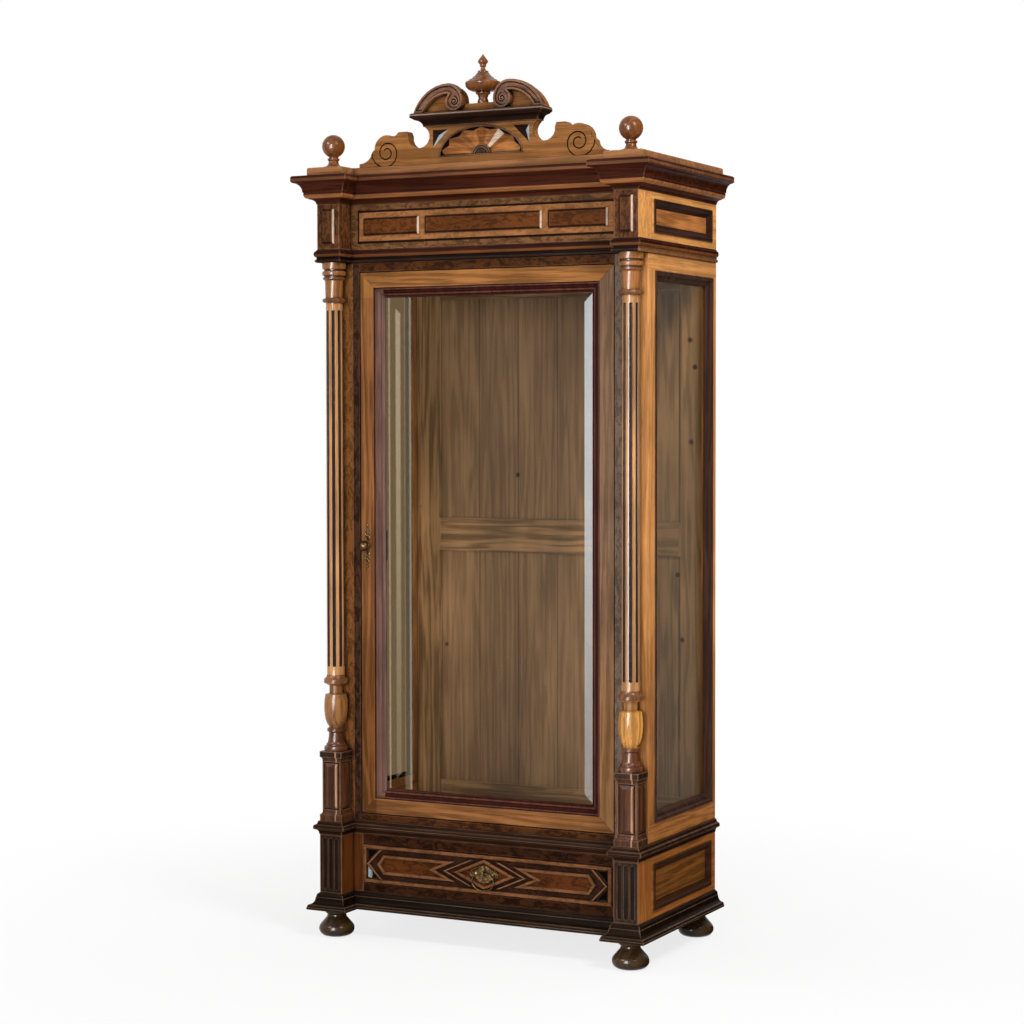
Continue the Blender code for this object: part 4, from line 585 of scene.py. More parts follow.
frieze_tablet, frieze_bevel = tablets_on(FRIEZE_GROUND)
frieze_glint = glint(frieze_bevel, -0.212, 0.193, 0.402)
block_tablet, block_bevel = tablets_on(BLOCK_Y)
block_glint = glint(block_bevel, -0.465, 0.509)

CREST_GROOVE = 0.0040

# Grooves in the crest board, and everything between its front and its back
crest_groove = depth_band(CREST_Y + STEP, CREST_Y + CREST_GROOVE)
crest_sunk = depth_band(CREST_Y + STEP, CREST_BACK_Y - STEP)

FAN_Z = 2.328
FAN_HALF, FAN_HEIGHT = 0.139, 0.087
FAN_PETALS = 7
FAN_HUB = 0.0225
PALE_PETAL = (1.5, 2.0)
LUNETTE_MARGIN = 0.004
POCKET_X, POCKET_Z = (0.104, 0.159), (2.354, 2.4085)
POCKET_GROUND_X, POCKET_GROUND_Z = (0.099, 0.164), (2.349, 2.413)


def fan_rise(n):
    return n.minus(n.z, FAN_Z)


def crest_lunette(n):
    """The sunk ground behind the fan, and the pockets in the corners above it."""
    wide = n.math("DIVIDE", n.x, FAN_HALF + LUNETTE_MARGIN)
    high = n.math("DIVIDE", fan_rise(n), FAN_HEIGHT + LUNETTE_MARGIN)
    lunette = n.below(n.squares(wide, high), 1.0)
    pocket = n.both(n.between(n.side, *POCKET_GROUND_X), n.between(n.z, *POCKET_GROUND_Z))
    return n.both(n.either(lunette, pocket), crest_sunk(n))


def crest_facet(n):
    """The polished facet of each pocket beside the fan that is turned to the left, painted with a
    reflection.
    """
    wide, tall = POCKET_X[1] - POCKET_X[0], POCKET_Z[1] - POCKET_Z[0]
    from_outer = n.minus(POCKET_X[1], n.side)
    from_top = n.minus(POCKET_Z[1], n.z)
    across = n.math("DIVIDE", n.minus(n.side, POCKET_X[0]), wide)
    rise = n.minus(across, n.math("DIVIDE", from_top, tall))
    from_slant = n.math("MULTIPLY", rise, wide * tall / math.hypot(wide, tall))
    right = n.both(n.above(n.x, 0.0), n.below(from_outer, n.lowest(from_top, from_slant)))
    left = n.both(n.below(n.x, 0.0), n.below(from_slant, n.lowest(from_top, from_outer)))
    inside = n.both(n.above(from_outer, 0.0), n.above(from_top, 0.0), n.above(from_slant, 0.0))
    return n.both(n.either(left, right), inside, crest_sunk(n))


def petal_index(n):
    angle = n.math("ARCTAN2", fan_rise(n), n.x)
    return n.math("MULTIPLY", angle, FAN_PETALS / math.pi)


def dark_petals(n):
    """Every second petal of the fan."""
    whole = n.math("FLOOR", petal_index(n))
    return n.above(n.math("MODULO", whole, 2.0), 0.5)


def pale_petal_reflection(n):
    """Half of one petal, painted pale as a reflection."""
    return n.between(petal_index(n), *PALE_PETAL)


def fan_hub(n):
    return n.below(n.squares(n.x, fan_rise(n)), FAN_HUB ** 2)


cornice_bead = level_bands((2.2175, 2.2290))
# The cornice's fillet is painted paler as a highlight
cornice_fillet_highlight = level_bands((2.268, 2.276))
NECKING_LOW, NECKING_HIGH = (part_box("necking")[index].z for index in (0, 1))


def necking_band(*shares):
    """A level band of the necking, between two shares of its height."""
    return level_bands([NECKING_LOW + share * (NECKING_HIGH - NECKING_LOW) for share in shares])


necking_bead = necking_band(0.44, 0.64)
necking_foot = necking_band(-0.1, 0.44)


def necking_return(n):
    """The necking's lower member on the two sides, where it is golden."""
    return n.both(necking_foot(n), n.above(n.side, HALF))


LINE_HALF = 0.0011


def lines_at(*levels):
    """A mask of thin level lines along a moulding."""
    return level_bands(*[(level - LINE_HALF, level + LINE_HALF) for level in levels])


# Thin pale lines along the plinth's and the waist's mouldings: partly wear, partly painted highlight
PLINTH_WEAR_AND_HIGHLIGHTS = lines_at(0.0893, 0.0968, 0.1185)
WAIST_WEAR_AND_HIGHLIGHTS = lines_at(0.3232, 0.3300, 0.3388)
RIM_WEAR_AND_HIGHLIGHT = (76, 60, 48)

SHELF_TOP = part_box("crest_shelf")[1].z
# A thin band along the shelf's top edge, painted pale as a highlight
shelf_edge_highlight = level_bands((SHELF_TOP - 0.0075, SHELF_TOP - 0.0035))
SCROLL_RISE = 0.0303
SCROLL_X, SCROLL_Z = 0.0785, SHELF_TOP + SCROLL_RISE
SCROLL_FACE_Y, SCROLL_FACE = -0.2233, 0.0185


def scroll_groove(n):
    """The spiral groove cut in a scroll's round end."""
    across = n.minus(n.side, SCROLL_X)
    rise = n.minus(n.z, SCROLL_Z)
    inside = n.below(n.squares(across, rise), SCROLL_FACE ** 2)
    return n.both(inside, n.above(n.y, SCROLL_FACE_Y + STEP))


SIGHT_HALF = 0.3425
SIGHT_Z = (0.448, 1.923)
STILE_MARGIN = 0.004
STILE_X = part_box("door_glass")[0].x + STILE_MARGIN
STILE_FADE_Z = (1.15, 0.55)
LIT_MOULDING = 0.027
OUTER_BEAD = 0.0034
INNER_BEAD = (0.0120, 0.0129)


def door_bead_highlight(n):
    """The two proud members of the door's moulding, by their depth behind the posts' face; they are
    painted paler as highlights.
    """
    outer = n.below(n.y, FACE_Y + OUTER_BEAD)
    inner = n.between(n.y, *[FACE_Y + depth for depth in INNER_BEAD])
    return n.either(outer, inner)


def door_top(n):
    return n.above(n.z, SIGHT_Z[1])


def shaded_stile(n):
    """The lower half of the door's left stile."""
    return n.both(n.below(n.x, STILE_X), n.ramp(n.z, *STILE_FADE_Z))


def golden_stile(n):
    """The foot of the door's right stile."""
    return n.ramp(n.z, *STILE_FADE_Z)


def lit_moulding(n):
    """The door moulding's left member, which faces the light."""
    return n.between(n.x, -SIGHT_HALF - LIT_MOULDING, STEP - SIGHT_HALF)


MOULDING = (48, 28, 22)
GOLD = (212, 147, 82)
BASE_GOLD = (146, 88, 40)
# A blue-white painted reflection on the polished facets in the sunk corners
FACET_REFLECTION = (172, 190, 198)
GLINT = (190, 160, 140)
POLISHED = dict(rough=0.24, gloss=0.23)
DARK_POLISH = dict(rough=0.36, gloss=0.014, wear_and_highlight=0.6, worn_and_lit=(140, 108, 82))

FINISHES = {
    "door_wood": dict(
        tone=(128, 83, 47), spread=0.34,
        zones=((door_top, (140, 92, 48), 0.34), (shaded_stile, (108, 67, 33), 0.34))),
    "door_shut": dict(tone=(122, 93, 71), spread=0.2, zones=((golden_stile, (134, 95, 60), 0.3),)),
    "door_moulding": dict(
        tone=(48, 18, 11), spread=0.22, rough=0.32, gloss=0.02, wear_and_highlight=0.45, worn_and_lit=(120, 78, 64),
        zones=((lit_moulding, (98, 74, 66), 0.2), (door_bead_highlight, (92, 54, 44), 0.2))),
    "post_burl": dict(
        tone=(56, 36, 25), spread=0.45, figure="burl",
        zones=((right_post_sheen, (102, 86, 74), 0.28), (post_board, (112, 71, 36), 0.3))),
    "rail": dict(tone=(63, 34, 14), spread=0.5, figure="burl"),
    "drawer_rail": dict(tone=(46, 23, 9), spread=0.55, figure="burl"),
    "ebonised": dict(tone=(23, 13, 6), spread=0.3, **DARK_POLISH, zones=((PLINTH_WEAR_AND_HIGHLIGHTS, RIM_WEAR_AND_HIGHLIGHT, 0.3),)),
    "foot": dict(tone=(58, 40, 21), spread=0.3, rough=0.2, gloss=0.18, wear_and_highlight=0.2),
    "base_post": dict(
        tone=(43, 28, 21), spread=0.3, **DARK_POLISH,
        zones=((right_post_sheen, (53, 41, 34), 0.3), (post_outside, BASE_GOLD, 0.2),
               (post_return, (89, 47, 20), 0.2))),
    "side_wood": dict(
        tone=(192, 132, 76), spread=0.2, cross=(side_rails, "Y"), gloss=0.02, crevice=0.45, lines=0.4,
        zones=((side_low_shade, (148, 95, 50), 0.25), (side_moulding, (60, 40, 32), 0.25))),
    "frieze_side": dict(
        tone=GOLD, spread=0.18, gloss=0.02,
        zones=((panel_moulding, MOULDING, 0.25), (panel_field, (156, 99, 53), 0.3))),
    "base_side": dict(
        tone=BASE_GOLD, spread=0.2, gloss=0.01,
        zones=((panel_moulding, (56, 33, 18), 0.25), (panel_field, (108, 66, 29), 0.3))),
    "frieze_board": dict(
        tone=(102, 68, 39), spread=0.38, figure="burl", wear_and_highlight=0.3,
        zones=((frieze_outline, (30, 17, 11), 0.25), (frieze_frame, (140, 92, 53), 0.22),
               (frieze_line, (26, 15, 11), 0.25),
               # The tablets' sloping rims are painted dark as shade, and their right ends pale as a glint
               (frieze_tablet, (85, 46, 18), 0.3), (frieze_bevel, (42, 23, 15), 0.25),
               (frieze_glint, GLINT, 0.1))),
    "frieze_block": dict(
        tone=(86, 51, 27), spread=0.45, figure="burl", wear_and_highlight=0.45,
        # The block tablets' sloping rims are painted dark as shade, and their right ends pale as a glint
        zones=((block_tablet, (82, 49, 27), 0.36), (block_bevel, (44, 25, 17), 0.25),
               (block_glint, GLINT, 0.1), (post_outside, GOLD, 0.15))),
    "column": dict(
        tone=(174, 124, 78), spread=0.22, **POLISHED,
        zones=((column_capital, (132, 85, 45), 0.25), (column_dark_rings, (106, 64, 36), 0.25),
               (column_foot, (92, 52, 30), 0.3), (column_belly, (184, 128, 62), 0.3),
               (column_stem, (168, 114, 60), 0.3), (shaded_belly, (128, 85, 46), 0.3),
               # The flutes are painted near-black as shade in the grooves
               (column_ring, (118, 74, 42), 0.3), (column_flute, (40, 22, 15), 0.25))),
    "pedestal": dict(
        tone=(74, 43, 25), spread=0.36, rough=0.3, gloss=0.08, wear_and_highlight=0.6, worn_and_lit=(156, 116, 86),
        zones=((pedestal_cap, (44, 27, 19), 0.3), (pedestal_glint, (168, 126, 98), 0.2))),
    "waist": dict(tone=(40, 19, 8), spread=0.3, **DARK_POLISH, zones=((WAIST_WEAR_AND_HIGHLIGHTS, RIM_WEAR_AND_HIGHLIGHT, 0.3),)),
    "drawer_front": dict(
        tone=(76, 40, 15), spread=0.34, figure="burl", wear_and_highlight=0.4,
        zones=((drawer_band, (108, 68, 40), 0.25), (drawer_ground, (50, 28, 17), 0.3),
               (drawer_pocket, (16, 11, 9), 0.2), (drawer_facet, FACET_REFLECTION, 0.1))),
    "crest_board": dict(
        tone=(140, 92, 49), spread=0.24,
        zones=((crest_groove, (44, 25, 15), 0.25), (crest_lunette, (40, 22, 15), 0.25),
               (crest_facet, FACET_REFLECTION, 0.1))),
    "crest_fan": dict(
        tone=(154, 97, 50), spread=0.32, wear_and_highlight=0.14, crevice=0.9, lines=0.85,
        zones=((dark_petals, (126, 76, 38), 0.3), (pale_petal_reflection, (206, 180, 160), 0.12),
               (fan_hub, (60, 36, 24), 0.25))),
    "crest_trim": dict(
        tone=(34, 19, 13), spread=0.28, **DARK_POLISH,
        zones=((shelf_edge_highlight, (130, 104, 88), 0.2),)),
    "fan_trim": dict(tone=(60, 32, 20), spread=0.25, **DARK_POLISH),
    "crest_scroll": dict(
        tone=(102, 64, 39), spread=0.28, crevice=0.9, rough=0.38, gloss=0.1, wear_and_highlight=0.5,
        zones=((scroll_groove, (36, 20, 14), 0.2),)),
    "finial": dict(tone=(114, 66, 30), spread=0.26, rough=0.19, gloss=0.22),
    "cornice": dict(
        tone=(59, 25, 13), spread=0.34, rough=0.36, gloss=0.016, wear_and_highlight=0.22,
        zones=((cornice_bead, (138, 87, 50), 0.2), (cornice_fillet_highlight, (104, 64, 40), 0.2))),
    "necking": dict(
        tone=(48, 18, 9), spread=0.34, rough=0.36, gloss=0.016, wear_and_highlight=0.22,
        # The foot is painted near-black as the shadow under the necking, and golden on the two sides
        zones=((necking_bead, (104, 61, 31), 0.2), (necking_foot, (24, 12, 8), 0.2),
               (necking_return, (116, 74, 40), 0.2))),
    "top_board": dict(tone=(150, 102, 64), spread=0.2),
}


def pair(name):
    return name + "_left", name + "_right"


# Pieces whose finish has another name
WEARERS = {
    "door_wood": ("door_stile_left", "door_rail_top", "door_rail_bottom"),
    "door_shut": ("door_stile_right",),
    "post_burl": pair("front_post"),
    "rail": ("head_rail", "sill_rail"),
    "drawer_rail": ("drawer_rail_top", "drawer_rail_bottom"),
    "ebonised": ("plinth",),
    "foot": pair("foot_front") + pair("foot_back"),
    "side_wood": pair("side_frame"),
    "crest_trim": ("crest_shelf",),
    "finial": ("centre_finial", *pair("ball_finial")),
}
PINE_PIECES = (*pair("drawer_side"), "drawer_back", "drawer_bottom", *pair("drawer_runner"))
BRASS_PIECES = ("drawer_pull_plate", "drawer_ring", "door_knob")
IRON_PIECES = ("lock_case", "lock_bolt")


def wearers(finish):
    """The pieces listed for a finish, or else the piece or pair of the same name."""
    names = WEARERS.get(finish, (finish, *pair(finish)))
    return [name for name in names if name in frame["nodes"]]


def long_axis(node):
    """The letter of a piece's longest side."""
    low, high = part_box(node)
    sides = high - low
    return "XYZ"[max(range(3), key=lambda index: sides[index])]


BACK_RAIL_Z = (1.142, 1.247)
BACK_FIELD_Z = (0.408, 1.938)
BACK_STILE_X = 0.412
BACK_KNOTS = ((0.448, 1.798), (0.464, 1.716), (0.452, 1.490), (0.406, 1.086), (0.423, 0.889),
              (-0.138, 1.385))
KNOT_CORE, KNOT_RIM = 0.004, 0.011
BACK_STAIN = (0.15, 0.30)
SIDE_LIT_X, SIDE_LIT_Z, SIDE_LIGHT = (0.29, 0.33), (1.20, 1.85), 1.36
LEFT_LIT_X, LEFT_LIGHT = (-0.23, -0.42), 1.75
LEFT_EDGE_X, EDGE_LIGHT = (-0.43, -0.48), 1.5

# Pine: tones with their spread, one of them a painted light, scattered knots, seams, clouds, dirt with
# painted shade, and surface
PINE_BOARDS = ((130, 101, 74), 0.19)
PINE_FRAME = ((135, 104, 73), 0.4)
# A paler tone where light through the right side pane falls: painted light
PINE_SIDE_LIGHT_TONE = ((153, 118, 79), 0.24)
PINE_KNOT = (66, 44, 28)
KNOT_SCALE, KNOT_RARITY, KNOT_RANGE = 6.5, 0.62, (0.024, 0.060)
BOARDS_PER_METRE, SEAM_RANGE, SEAM_SHADE = 7.3, (0.478, 0.494), 0.55
CLOUD_SHADES = (0.62, 1.2)
PINE_DIRT_AND_SHADE = (0.03, 0.1, 0.9, 0.45)
PINE_ROUGHNESS, PINE_FIBRE_ROUGHNESS = 0.52, 0.2
PINE_BUMP = (0.3, 0.001)
PINE_GLOSS = 0.08


def back_rails(n):
    """The rails of the back panel, whose grain runs across."""
    middle = n.between(n.z, *BACK_RAIL_Z)
    ends = n.either(n.below(n.z, BACK_FIELD_Z[0]), n.above(n.z, BACK_FIELD_Z[1]))
    return n.both(n.either(middle, ends), n.below(n.side, BACK_STILE_X))


def back_frame(n):
    """The rails and stiles of the back panel."""
    return n.either(back_rails(n), n.above(n.side, BACK_STILE_X))


def back_knots(n):
    """0 at the knots that show through the panes, 1 elsewhere."""
    spots = []
    for x, z in BACK_KNOTS:
        square = n.squares(n.minus(n.x, x), n.minus(n.z, z))
        spots.append(n.ramp(n.math("SQRT", square), KNOT_CORE, KNOT_RIM))
    return n.either(n.lowest(*spots), n.above(n.y, BACK_Y - STEP))


def scattered_knots(n):
    """0 at knots strewn over the boards, 1 elsewhere."""
    cell = n.add("ShaderNodeTexVoronoi", Vector=n.place, Scale=KNOT_SCALE)
    plain = n.below(cell.outputs["Color"], KNOT_RARITY)
    return n.either(n.ramp(cell.outputs["Distance"], *KNOT_RANGE), plain)


def board_seams(n, axis):
    """Darker lines between boards that lie side by side."""
    across = n.x if axis != "X" else n.z
    board = n.math("FRACT", n.math("MULTIPLY", across, BOARDS_PER_METRE))
    from_middle = n.math("ABSOLUTE", n.minus(board, 0.5))
    return n.ramp(from_middle, *SEAM_RANGE, 1.0, SEAM_SHADE)


def back_light(n, inner, painted_side_light):
    """Factors for the light that comes through the side panes onto the back's inner face."""
    right = n.blend(painted_side_light, 1.0, n.ramp(n.z, *SIDE_LIT_Z, 1.0, SIDE_LIGHT))
    left = n.blend(inner, 1.0, n.ramp(n.x, *LEFT_LIT_X, 1.0, LEFT_LIGHT))
    edge = n.blend(inner, 1.0, n.ramp(n.x, *LEFT_EDGE_X, 1.0, EDGE_LIGHT))
    return right, left, edge


def pine(name, axis, framed):
    """Plain aged pine in boards, with knots; a framed one has rails and stiles, lit from the sides."""
    n = Nodes(name)
    pattern, fibre = straight_figure(n, axis)
    knots = scattered_knots(n)
    seams = board_seams(n, axis)
    tones = spread_tones(*PINE_BOARDS)
    if framed:
        pattern, fibre = turn_grain(n, "straight", "X", back_rails(n), pattern, fibre)
        whole_frame = back_frame(n)
        seams = n.either(seams, whole_frame)
        knots = n.lowest(knots, back_knots(n))
        stained = n.both(whole_frame, n.ramp(n.x, *BACK_STAIN, 1.0, 0.0))
        tones = change_tones(n, tones, stained, *PINE_FRAME)
        inner = n.below(n.y, BACK_Y - STEP)
        # Painted light: the inner face turns paler towards the right side pane
        painted_side_light = n.both(n.ramp(n.x, *SIDE_LIT_X), inner)
        tones = change_tones(n, tones, painted_side_light, *PINE_SIDE_LIGHT_TONE)
    colour = n.mix(n.ramp(pattern, *FIGURE_RANGE["straight"]), *tones)
    colour = n.mix(knots, linear(*PINE_KNOT), colour)
    clouds = n.ramp(n.grain(axis, *PINE_CLOUDS), *BLOTCH_RANGE, *CLOUD_SHADES)
    # Dirt and painted shade in the corners
    colour = n.shaded(colour, clouds, seams, n.dirt_and_shade(*PINE_DIRT_AND_SHADE))
    if framed:
        colour = n.shaded(colour, *back_light(n, inner, painted_side_light))
    bump = n.bump(n.math("MULTIPLY", fibre, seams), *PINE_BUMP)
    roughness = n.math("MULTIPLY_ADD", fibre, PINE_FIBRE_ROUGHNESS, PINE_ROUGHNESS)
    return n.show(n.principled(colour, roughness, bump, Specular_IOR_Level=PINE_GLOSS))


TARNISH, TARNISH_RANGE = (120.0, 5.0, 0.65), (0.32, 0.68)
TARNISH_ROUGHNESS, TARNISH_MEAN = 0.3, 0.12
METAL_DIRT = (0.006, 0.2, 0.85, 0.35)
SCRATCH_DEPTH = 0.0003


def metal(name, dark, light, rough, scratches):
    """A worn metal with tarnish, fine scratches and dirt in its corners."""
    n = Nodes(name)
    tarnish = n.noise(n.place, *TARNISH)
    colour = n.mix(n.ramp(tarnish, *TARNISH_RANGE), linear(*dark), linear(*light))
    colour = n.shaded(colour, n.dirt_and_shade(*METAL_DIRT))
    roughness = n.math("MULTIPLY_ADD", tarnish, TARNISH_ROUGHNESS, rough - TARNISH_MEAN)
    bump = n.bump(n.grain("Z", *SCRATCHES), scratches, SCRATCH_DEPTH)
    return n.show(n.principled(colour, roughness, bump, Metallic=1.0))


WARM_MIRROR, COOL_MIRROR = (0.96, 0.80, 0.58, 1.0), (0.86, 0.93, 0.97, 1.0)
GLASS_SMEARS, SMEAR_FILM = (7.0, 4.0, 0.6), 0.006
GLASS_ROUGHNESS, GLASS_SMEAR_ROUGHNESS = 0.01, 0.05
GLASS_WAVES, GLASS_BUMP = (3.0, 2.0), (0.12, 0.002)
SHEEN_BLEND, SHEEN_POWER, SHEEN = 0.5, 4.0, 0.10


def glass(name, tint, veil=None):
    """Thin clear glass: mostly see-through, with a weak reflection that a mask makes stronger."""
    n = Nodes(name)
    clear = n.add("ShaderNodeBsdfTransparent", Color=(*tint, 1.0))
    smear = n.noise(n.place, *GLASS_SMEARS)
    roughness = n.math("MULTIPLY_ADD", smear, GLASS_SMEAR_ROUGHNESS, GLASS_ROUGHNESS)
    bump = n.bump(n.noise(n.place, *GLASS_WAVES), *GLASS_BUMP)
    mirror = n.mix(n.above(n.x, 0.0), WARM_MIRROR, COOL_MIRROR)
    shine = n.principled(mirror, roughness, bump, Metallic=1.0)
    facing = n.add("ShaderNodeLayerWeight", Blend=SHEEN_BLEND).outputs["Facing"]
    sheen = n.math("MULTIPLY", n.math("POWER", facing, SHEEN_POWER), SHEEN)
    share = n.math("MULTIPLY_ADD", smear, SMEAR_FILM, sheen)
    if veil:
        share = n.math("ADD", share, veil(n), clamp=True)
    return n.show(n.mix_shaders(share, clear, shine))


DOOR_TINT = (0.95, 0.94, 0.91)
SIDE_TINTS = {"left": (0.40, 0.33, 0.24), "right": (0.95, 0.93, 0.88)}
GLASS_BEVEL = 0.028
BEVEL_Z, BEVEL_SHINE = (0.40, 1.60), (0.14, 0.38)
INNER_LINE = (0.0322, 0.04816)
INNER_LINE_Z, INNER_LINE_SHINE = (0.40, 1.80), (0.05, 0.17)

# Lit lines, each from and to a distance from the pane's left edge, with its strength
LEFT_LINES = ((0.0070, 0.0125, 0.13), (0.0616, 0.0783, 0.05), (0.0783, 0.0850, 0.17))


def door_veil(n):
    """A painted reflection: a strip down the pane's right edge, where the ground bevel is, mitred at its
    ends and stronger towards the top, and lit lines down its left.
    """
    from_right = n.minus(SIGHT_HALF, n.x)
    from_left = n.math("ADD", SIGHT_HALF, n.x)
    from_end = n.lowest(n.minus(n.z, SIGHT_Z[0]), n.minus(SIGHT_Z[1], n.z))
    bevel = n.both(n.below(from_right, GLASS_BEVEL), n.below(from_right, from_end),
                   n.ramp(n.z, *BEVEL_Z, *BEVEL_SHINE))
    inner = n.both(n.between(from_left, *INNER_LINE), n.below(from_left, from_end),
                   n.ramp(n.z, *INNER_LINE_Z, *INNER_LINE_SHINE))
    left = [n.both(n.between(from_left, low, high), strength) for low, high, strength in LEFT_LINES]
    return n.math("ADD", bevel, n.either(inner, *left))


def soften(node):
    """Joins the facets of a piece, rounds its sharp edges a little and evens its shading."""
    piece = frame["nodes"][node]
    weld = piece.modifiers.new("weld", "WELD")
    weld.merge_threshold = EDGE_WELD
    smooth = piece.modifiers.new("smooth", "NODES")
    smooth.node_group = SMOOTH
    bevel = piece.modifiers.new("bevel", "BEVEL")
    bevel.width = EDGE_BEVEL
    bevel.segments = EDGE_SEGMENTS
    bevel.limit_method = "ANGLE"
    bevel.angle_limit = EDGE_ANGLE
    even = piece.modifiers.new("even", "WEIGHTED_NORMAL")
    even.keep_sharp = True


def smooth_tree():
    """A modifier's node tree that drops stored normals and shades every face smooth."""
    tree = bpy.data.node_groups.new("shade_smooth", "GeometryNodeTree")
    tree.interface.new_socket("Geometry", in_out="INPUT", socket_type="NodeSocketGeometry")
    tree.interface.new_socket("Geometry", in_out="OUTPUT", socket_type="NodeSocketGeometry")
    start = tree.nodes.new("NodeGroupInput")
    normal = tree.nodes.new("GeometryNodeSetMeshNormal")
    normal.mode = "SHARPNESS"
    normal.inputs["Remove Custom"].default_value = True
    end = tree.nodes.new("NodeGroupOutput")
    tree.links.new(start.outputs[0], normal.inputs["Mesh"])
    tree.links.new(normal.outputs[0], end.inputs[0])
    return tree


def dress(node, material):
    """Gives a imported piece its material."""
    for slot in frame["nodes"][node].material_slots:
        slot.material = material


def dress_grained(finish, nodes, make, **looks):
    """Gives pieces a finish whose grain runs along the longest side of each."""
    made = {}
    for node in nodes:
        axis = long_axis(node)
        if axis not in made:
            made[axis] = make(finish + "_" + axis.lower(), axis, **looks)
        dress(node, made[axis])
        soften(node)


def dress_wood():
    for finish, looks in FINISHES.items():
        dress_grained(finish, wearers(finish), wood, **looks)
    dress_grained("framed_pine", ("back_panel",), pine, framed=True)
    dress_grained("pine", PINE_PIECES, pine, framed=False)


def dress_metal_and_glass():
    for nodes, material in ((BRASS_PIECES, BRASS), (IRON_PIECES, IRON)):
        for node in nodes:
            dress(node, material)
            soften(node)
    dress("door_glass", glass("door_pane", DOOR_TINT, door_veil))
    for side, tint in SIDE_TINTS.items():
        dress("side_glass_" + side, glass("side_pane_" + side, tint))


# Pieces that the photograph shows on top of the solids

def new_piece(name, mesh, body, material):
    piece = bpy.data.objects.new(name, mesh)
    bpy.context.collection.objects.link(piece)
    mesh.materials.append(material)
    for polygon in mesh.polygons:
        polygon.use_smooth = True
    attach(piece, body)


def skin(mesh, rows):
    """Adds faces between rings of points."""
    for first, second in zip(rows, rows[1:]):
        for step in range(len(first)):
            other = (step + 1) % len(first)
            mesh.faces.new((first[step], first[other], second[other], second[step]))


def tube(mesh, points, radius, closed, flat=1.0, sides=8):
    """Adds a tube along points in the plane of the front; flat squashes it front to back."""
    rings = []
    count = len(points)
    for index, point in enumerate(points):
        before = points[index - 1] if closed or index else point
        after = points[(index + 1) % count] if closed or index + 1 < count else point
        along = (after - before).normalized()
        across = along.cross(Vector((0, 1, 0))).normalized()
        ring = []
        for step in range(sides):
            angle = 2 * math.pi * step / sides
            offset = across * math.cos(angle) * radius
            offset += Vector((0, math.sin(angle) * radius * flat, 0))
            ring.append(mesh.verts.new(point + offset))
        rings.append(ring)
    skin(mesh, rings + rings[:1] if closed else rings)
    if not closed:
        mesh.faces.new(rings[0])
        mesh.faces.new(list(reversed(rings[-1])))


def dome(mesh, centre, width, height, depth, rings=4, sides=14):
    """Adds an oval boss that stands out towards the front."""
    rows = []
    for ring in range(rings):
        angle = 0.5 * math.pi * ring / rings
        level = centre + Vector((0, -math.sin(angle) * depth, 0))
        points = oval(level, math.cos(angle) * width, math.cos(angle) * height, count=sides)
        rows.append([mesh.verts.new(point) for point in points])
    tip = mesh.verts.new(centre + Vector((0, -depth, 0)))
    skin(mesh, rows)
    for step in range(sides):
        mesh.faces.new((rows[-1][step], rows[-1][(step + 1) % sides], tip))
    mesh.faces.new(list(reversed(rows[0])))


def finished(name, work):
    """Turns a bmesh with outward faces into a mesh."""
    bmesh.ops.recalc_face_normals(work, faces=work.faces)
    mesh = bpy.data.meshes.new(name)
    work.to_mesh(mesh)
    work.free()
    return mesh


def oval(centre, half_width, half_height, start=0.0, end=360.0, count=24):
    """Points on an oval in the plane of the front; a full turn leaves out its last point."""
    full = abs(end - start) >= 360
    steps = count if full else count - 1
    points = []
    for index in range(count):
        angle = math.radians(start + (end - start) * index / steps)
        points.append(centre + Vector((math.cos(angle) * half_width, 0, math.sin(angle) * half_height)))
    return points


ESCUTCHEON_HALF = 0.0082
ESCUTCHEON_WIRE = 0.0017
ESCUTCHEON_FLAT = 0.6
ESCUTCHEON_LOOPS = ((0.0235, 0.0070), (0.0365, 0.0062), (0.0475, 0.0050))
LOOP_PROUD = ESCUTCHEON_WIRE * 0.55
SPINE_PROUD = ESCUTCHEON_WIRE * 0.5
SPINE_WIRE = ESCUTCHEON_WIRE * 0.8
SPINE_ENDS = (0.0165, 0.0625)
DROP = (0.0032, 0.0045, 0.0022)


def make_escutcheon():
    """The pierced brass plate above and below the knob: loops on a spine, with a drop at each end."""
    knob = next(joint for joint in frame["joints"] if joint["name"] == "door_knob_turn")["pos_m"]
    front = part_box("door_stile_left")[0].y
    largest = ESCUTCHEON_LOOPS[0][1]
    work = bmesh.new()
    for sign in (1, -1):
        for rise, half in ESCUTCHEON_LOOPS:
            middle = Vector((knob[0], front - LOOP_PROUD, knob[2] + sign * rise))
            loop = oval(middle, ESCUTCHEON_HALF * half / largest, half)
            tube(work, loop, ESCUTCHEON_WIRE, True, ESCUTCHEON_FLAT)
        foot, tip = (Vector((knob[0], front - SPINE_PROUD, knob[2] + sign * rise)) for rise in SPINE_ENDS)
        tube(work, [foot, (foot + tip) / 2, tip], SPINE_WIRE, False, ESCUTCHEON_FLAT)
        dome(work, tip, *DROP)
    new_piece("escutcheon", finished("escutcheon", work), "door", BRASS)


PULL_PROUD, PULL_MARGIN = 0.0046, 0.004
PULL_BEADS = 30
PULL_BEAD = 0.0021
BEAD_DEPTH, BEAD_RINGS, BEAD_SIDES = PULL_BEAD * 0.8, 3, 8
BOSS, BOSS_PLACE = (0.0075, 0.0085, 0.004), 0.62


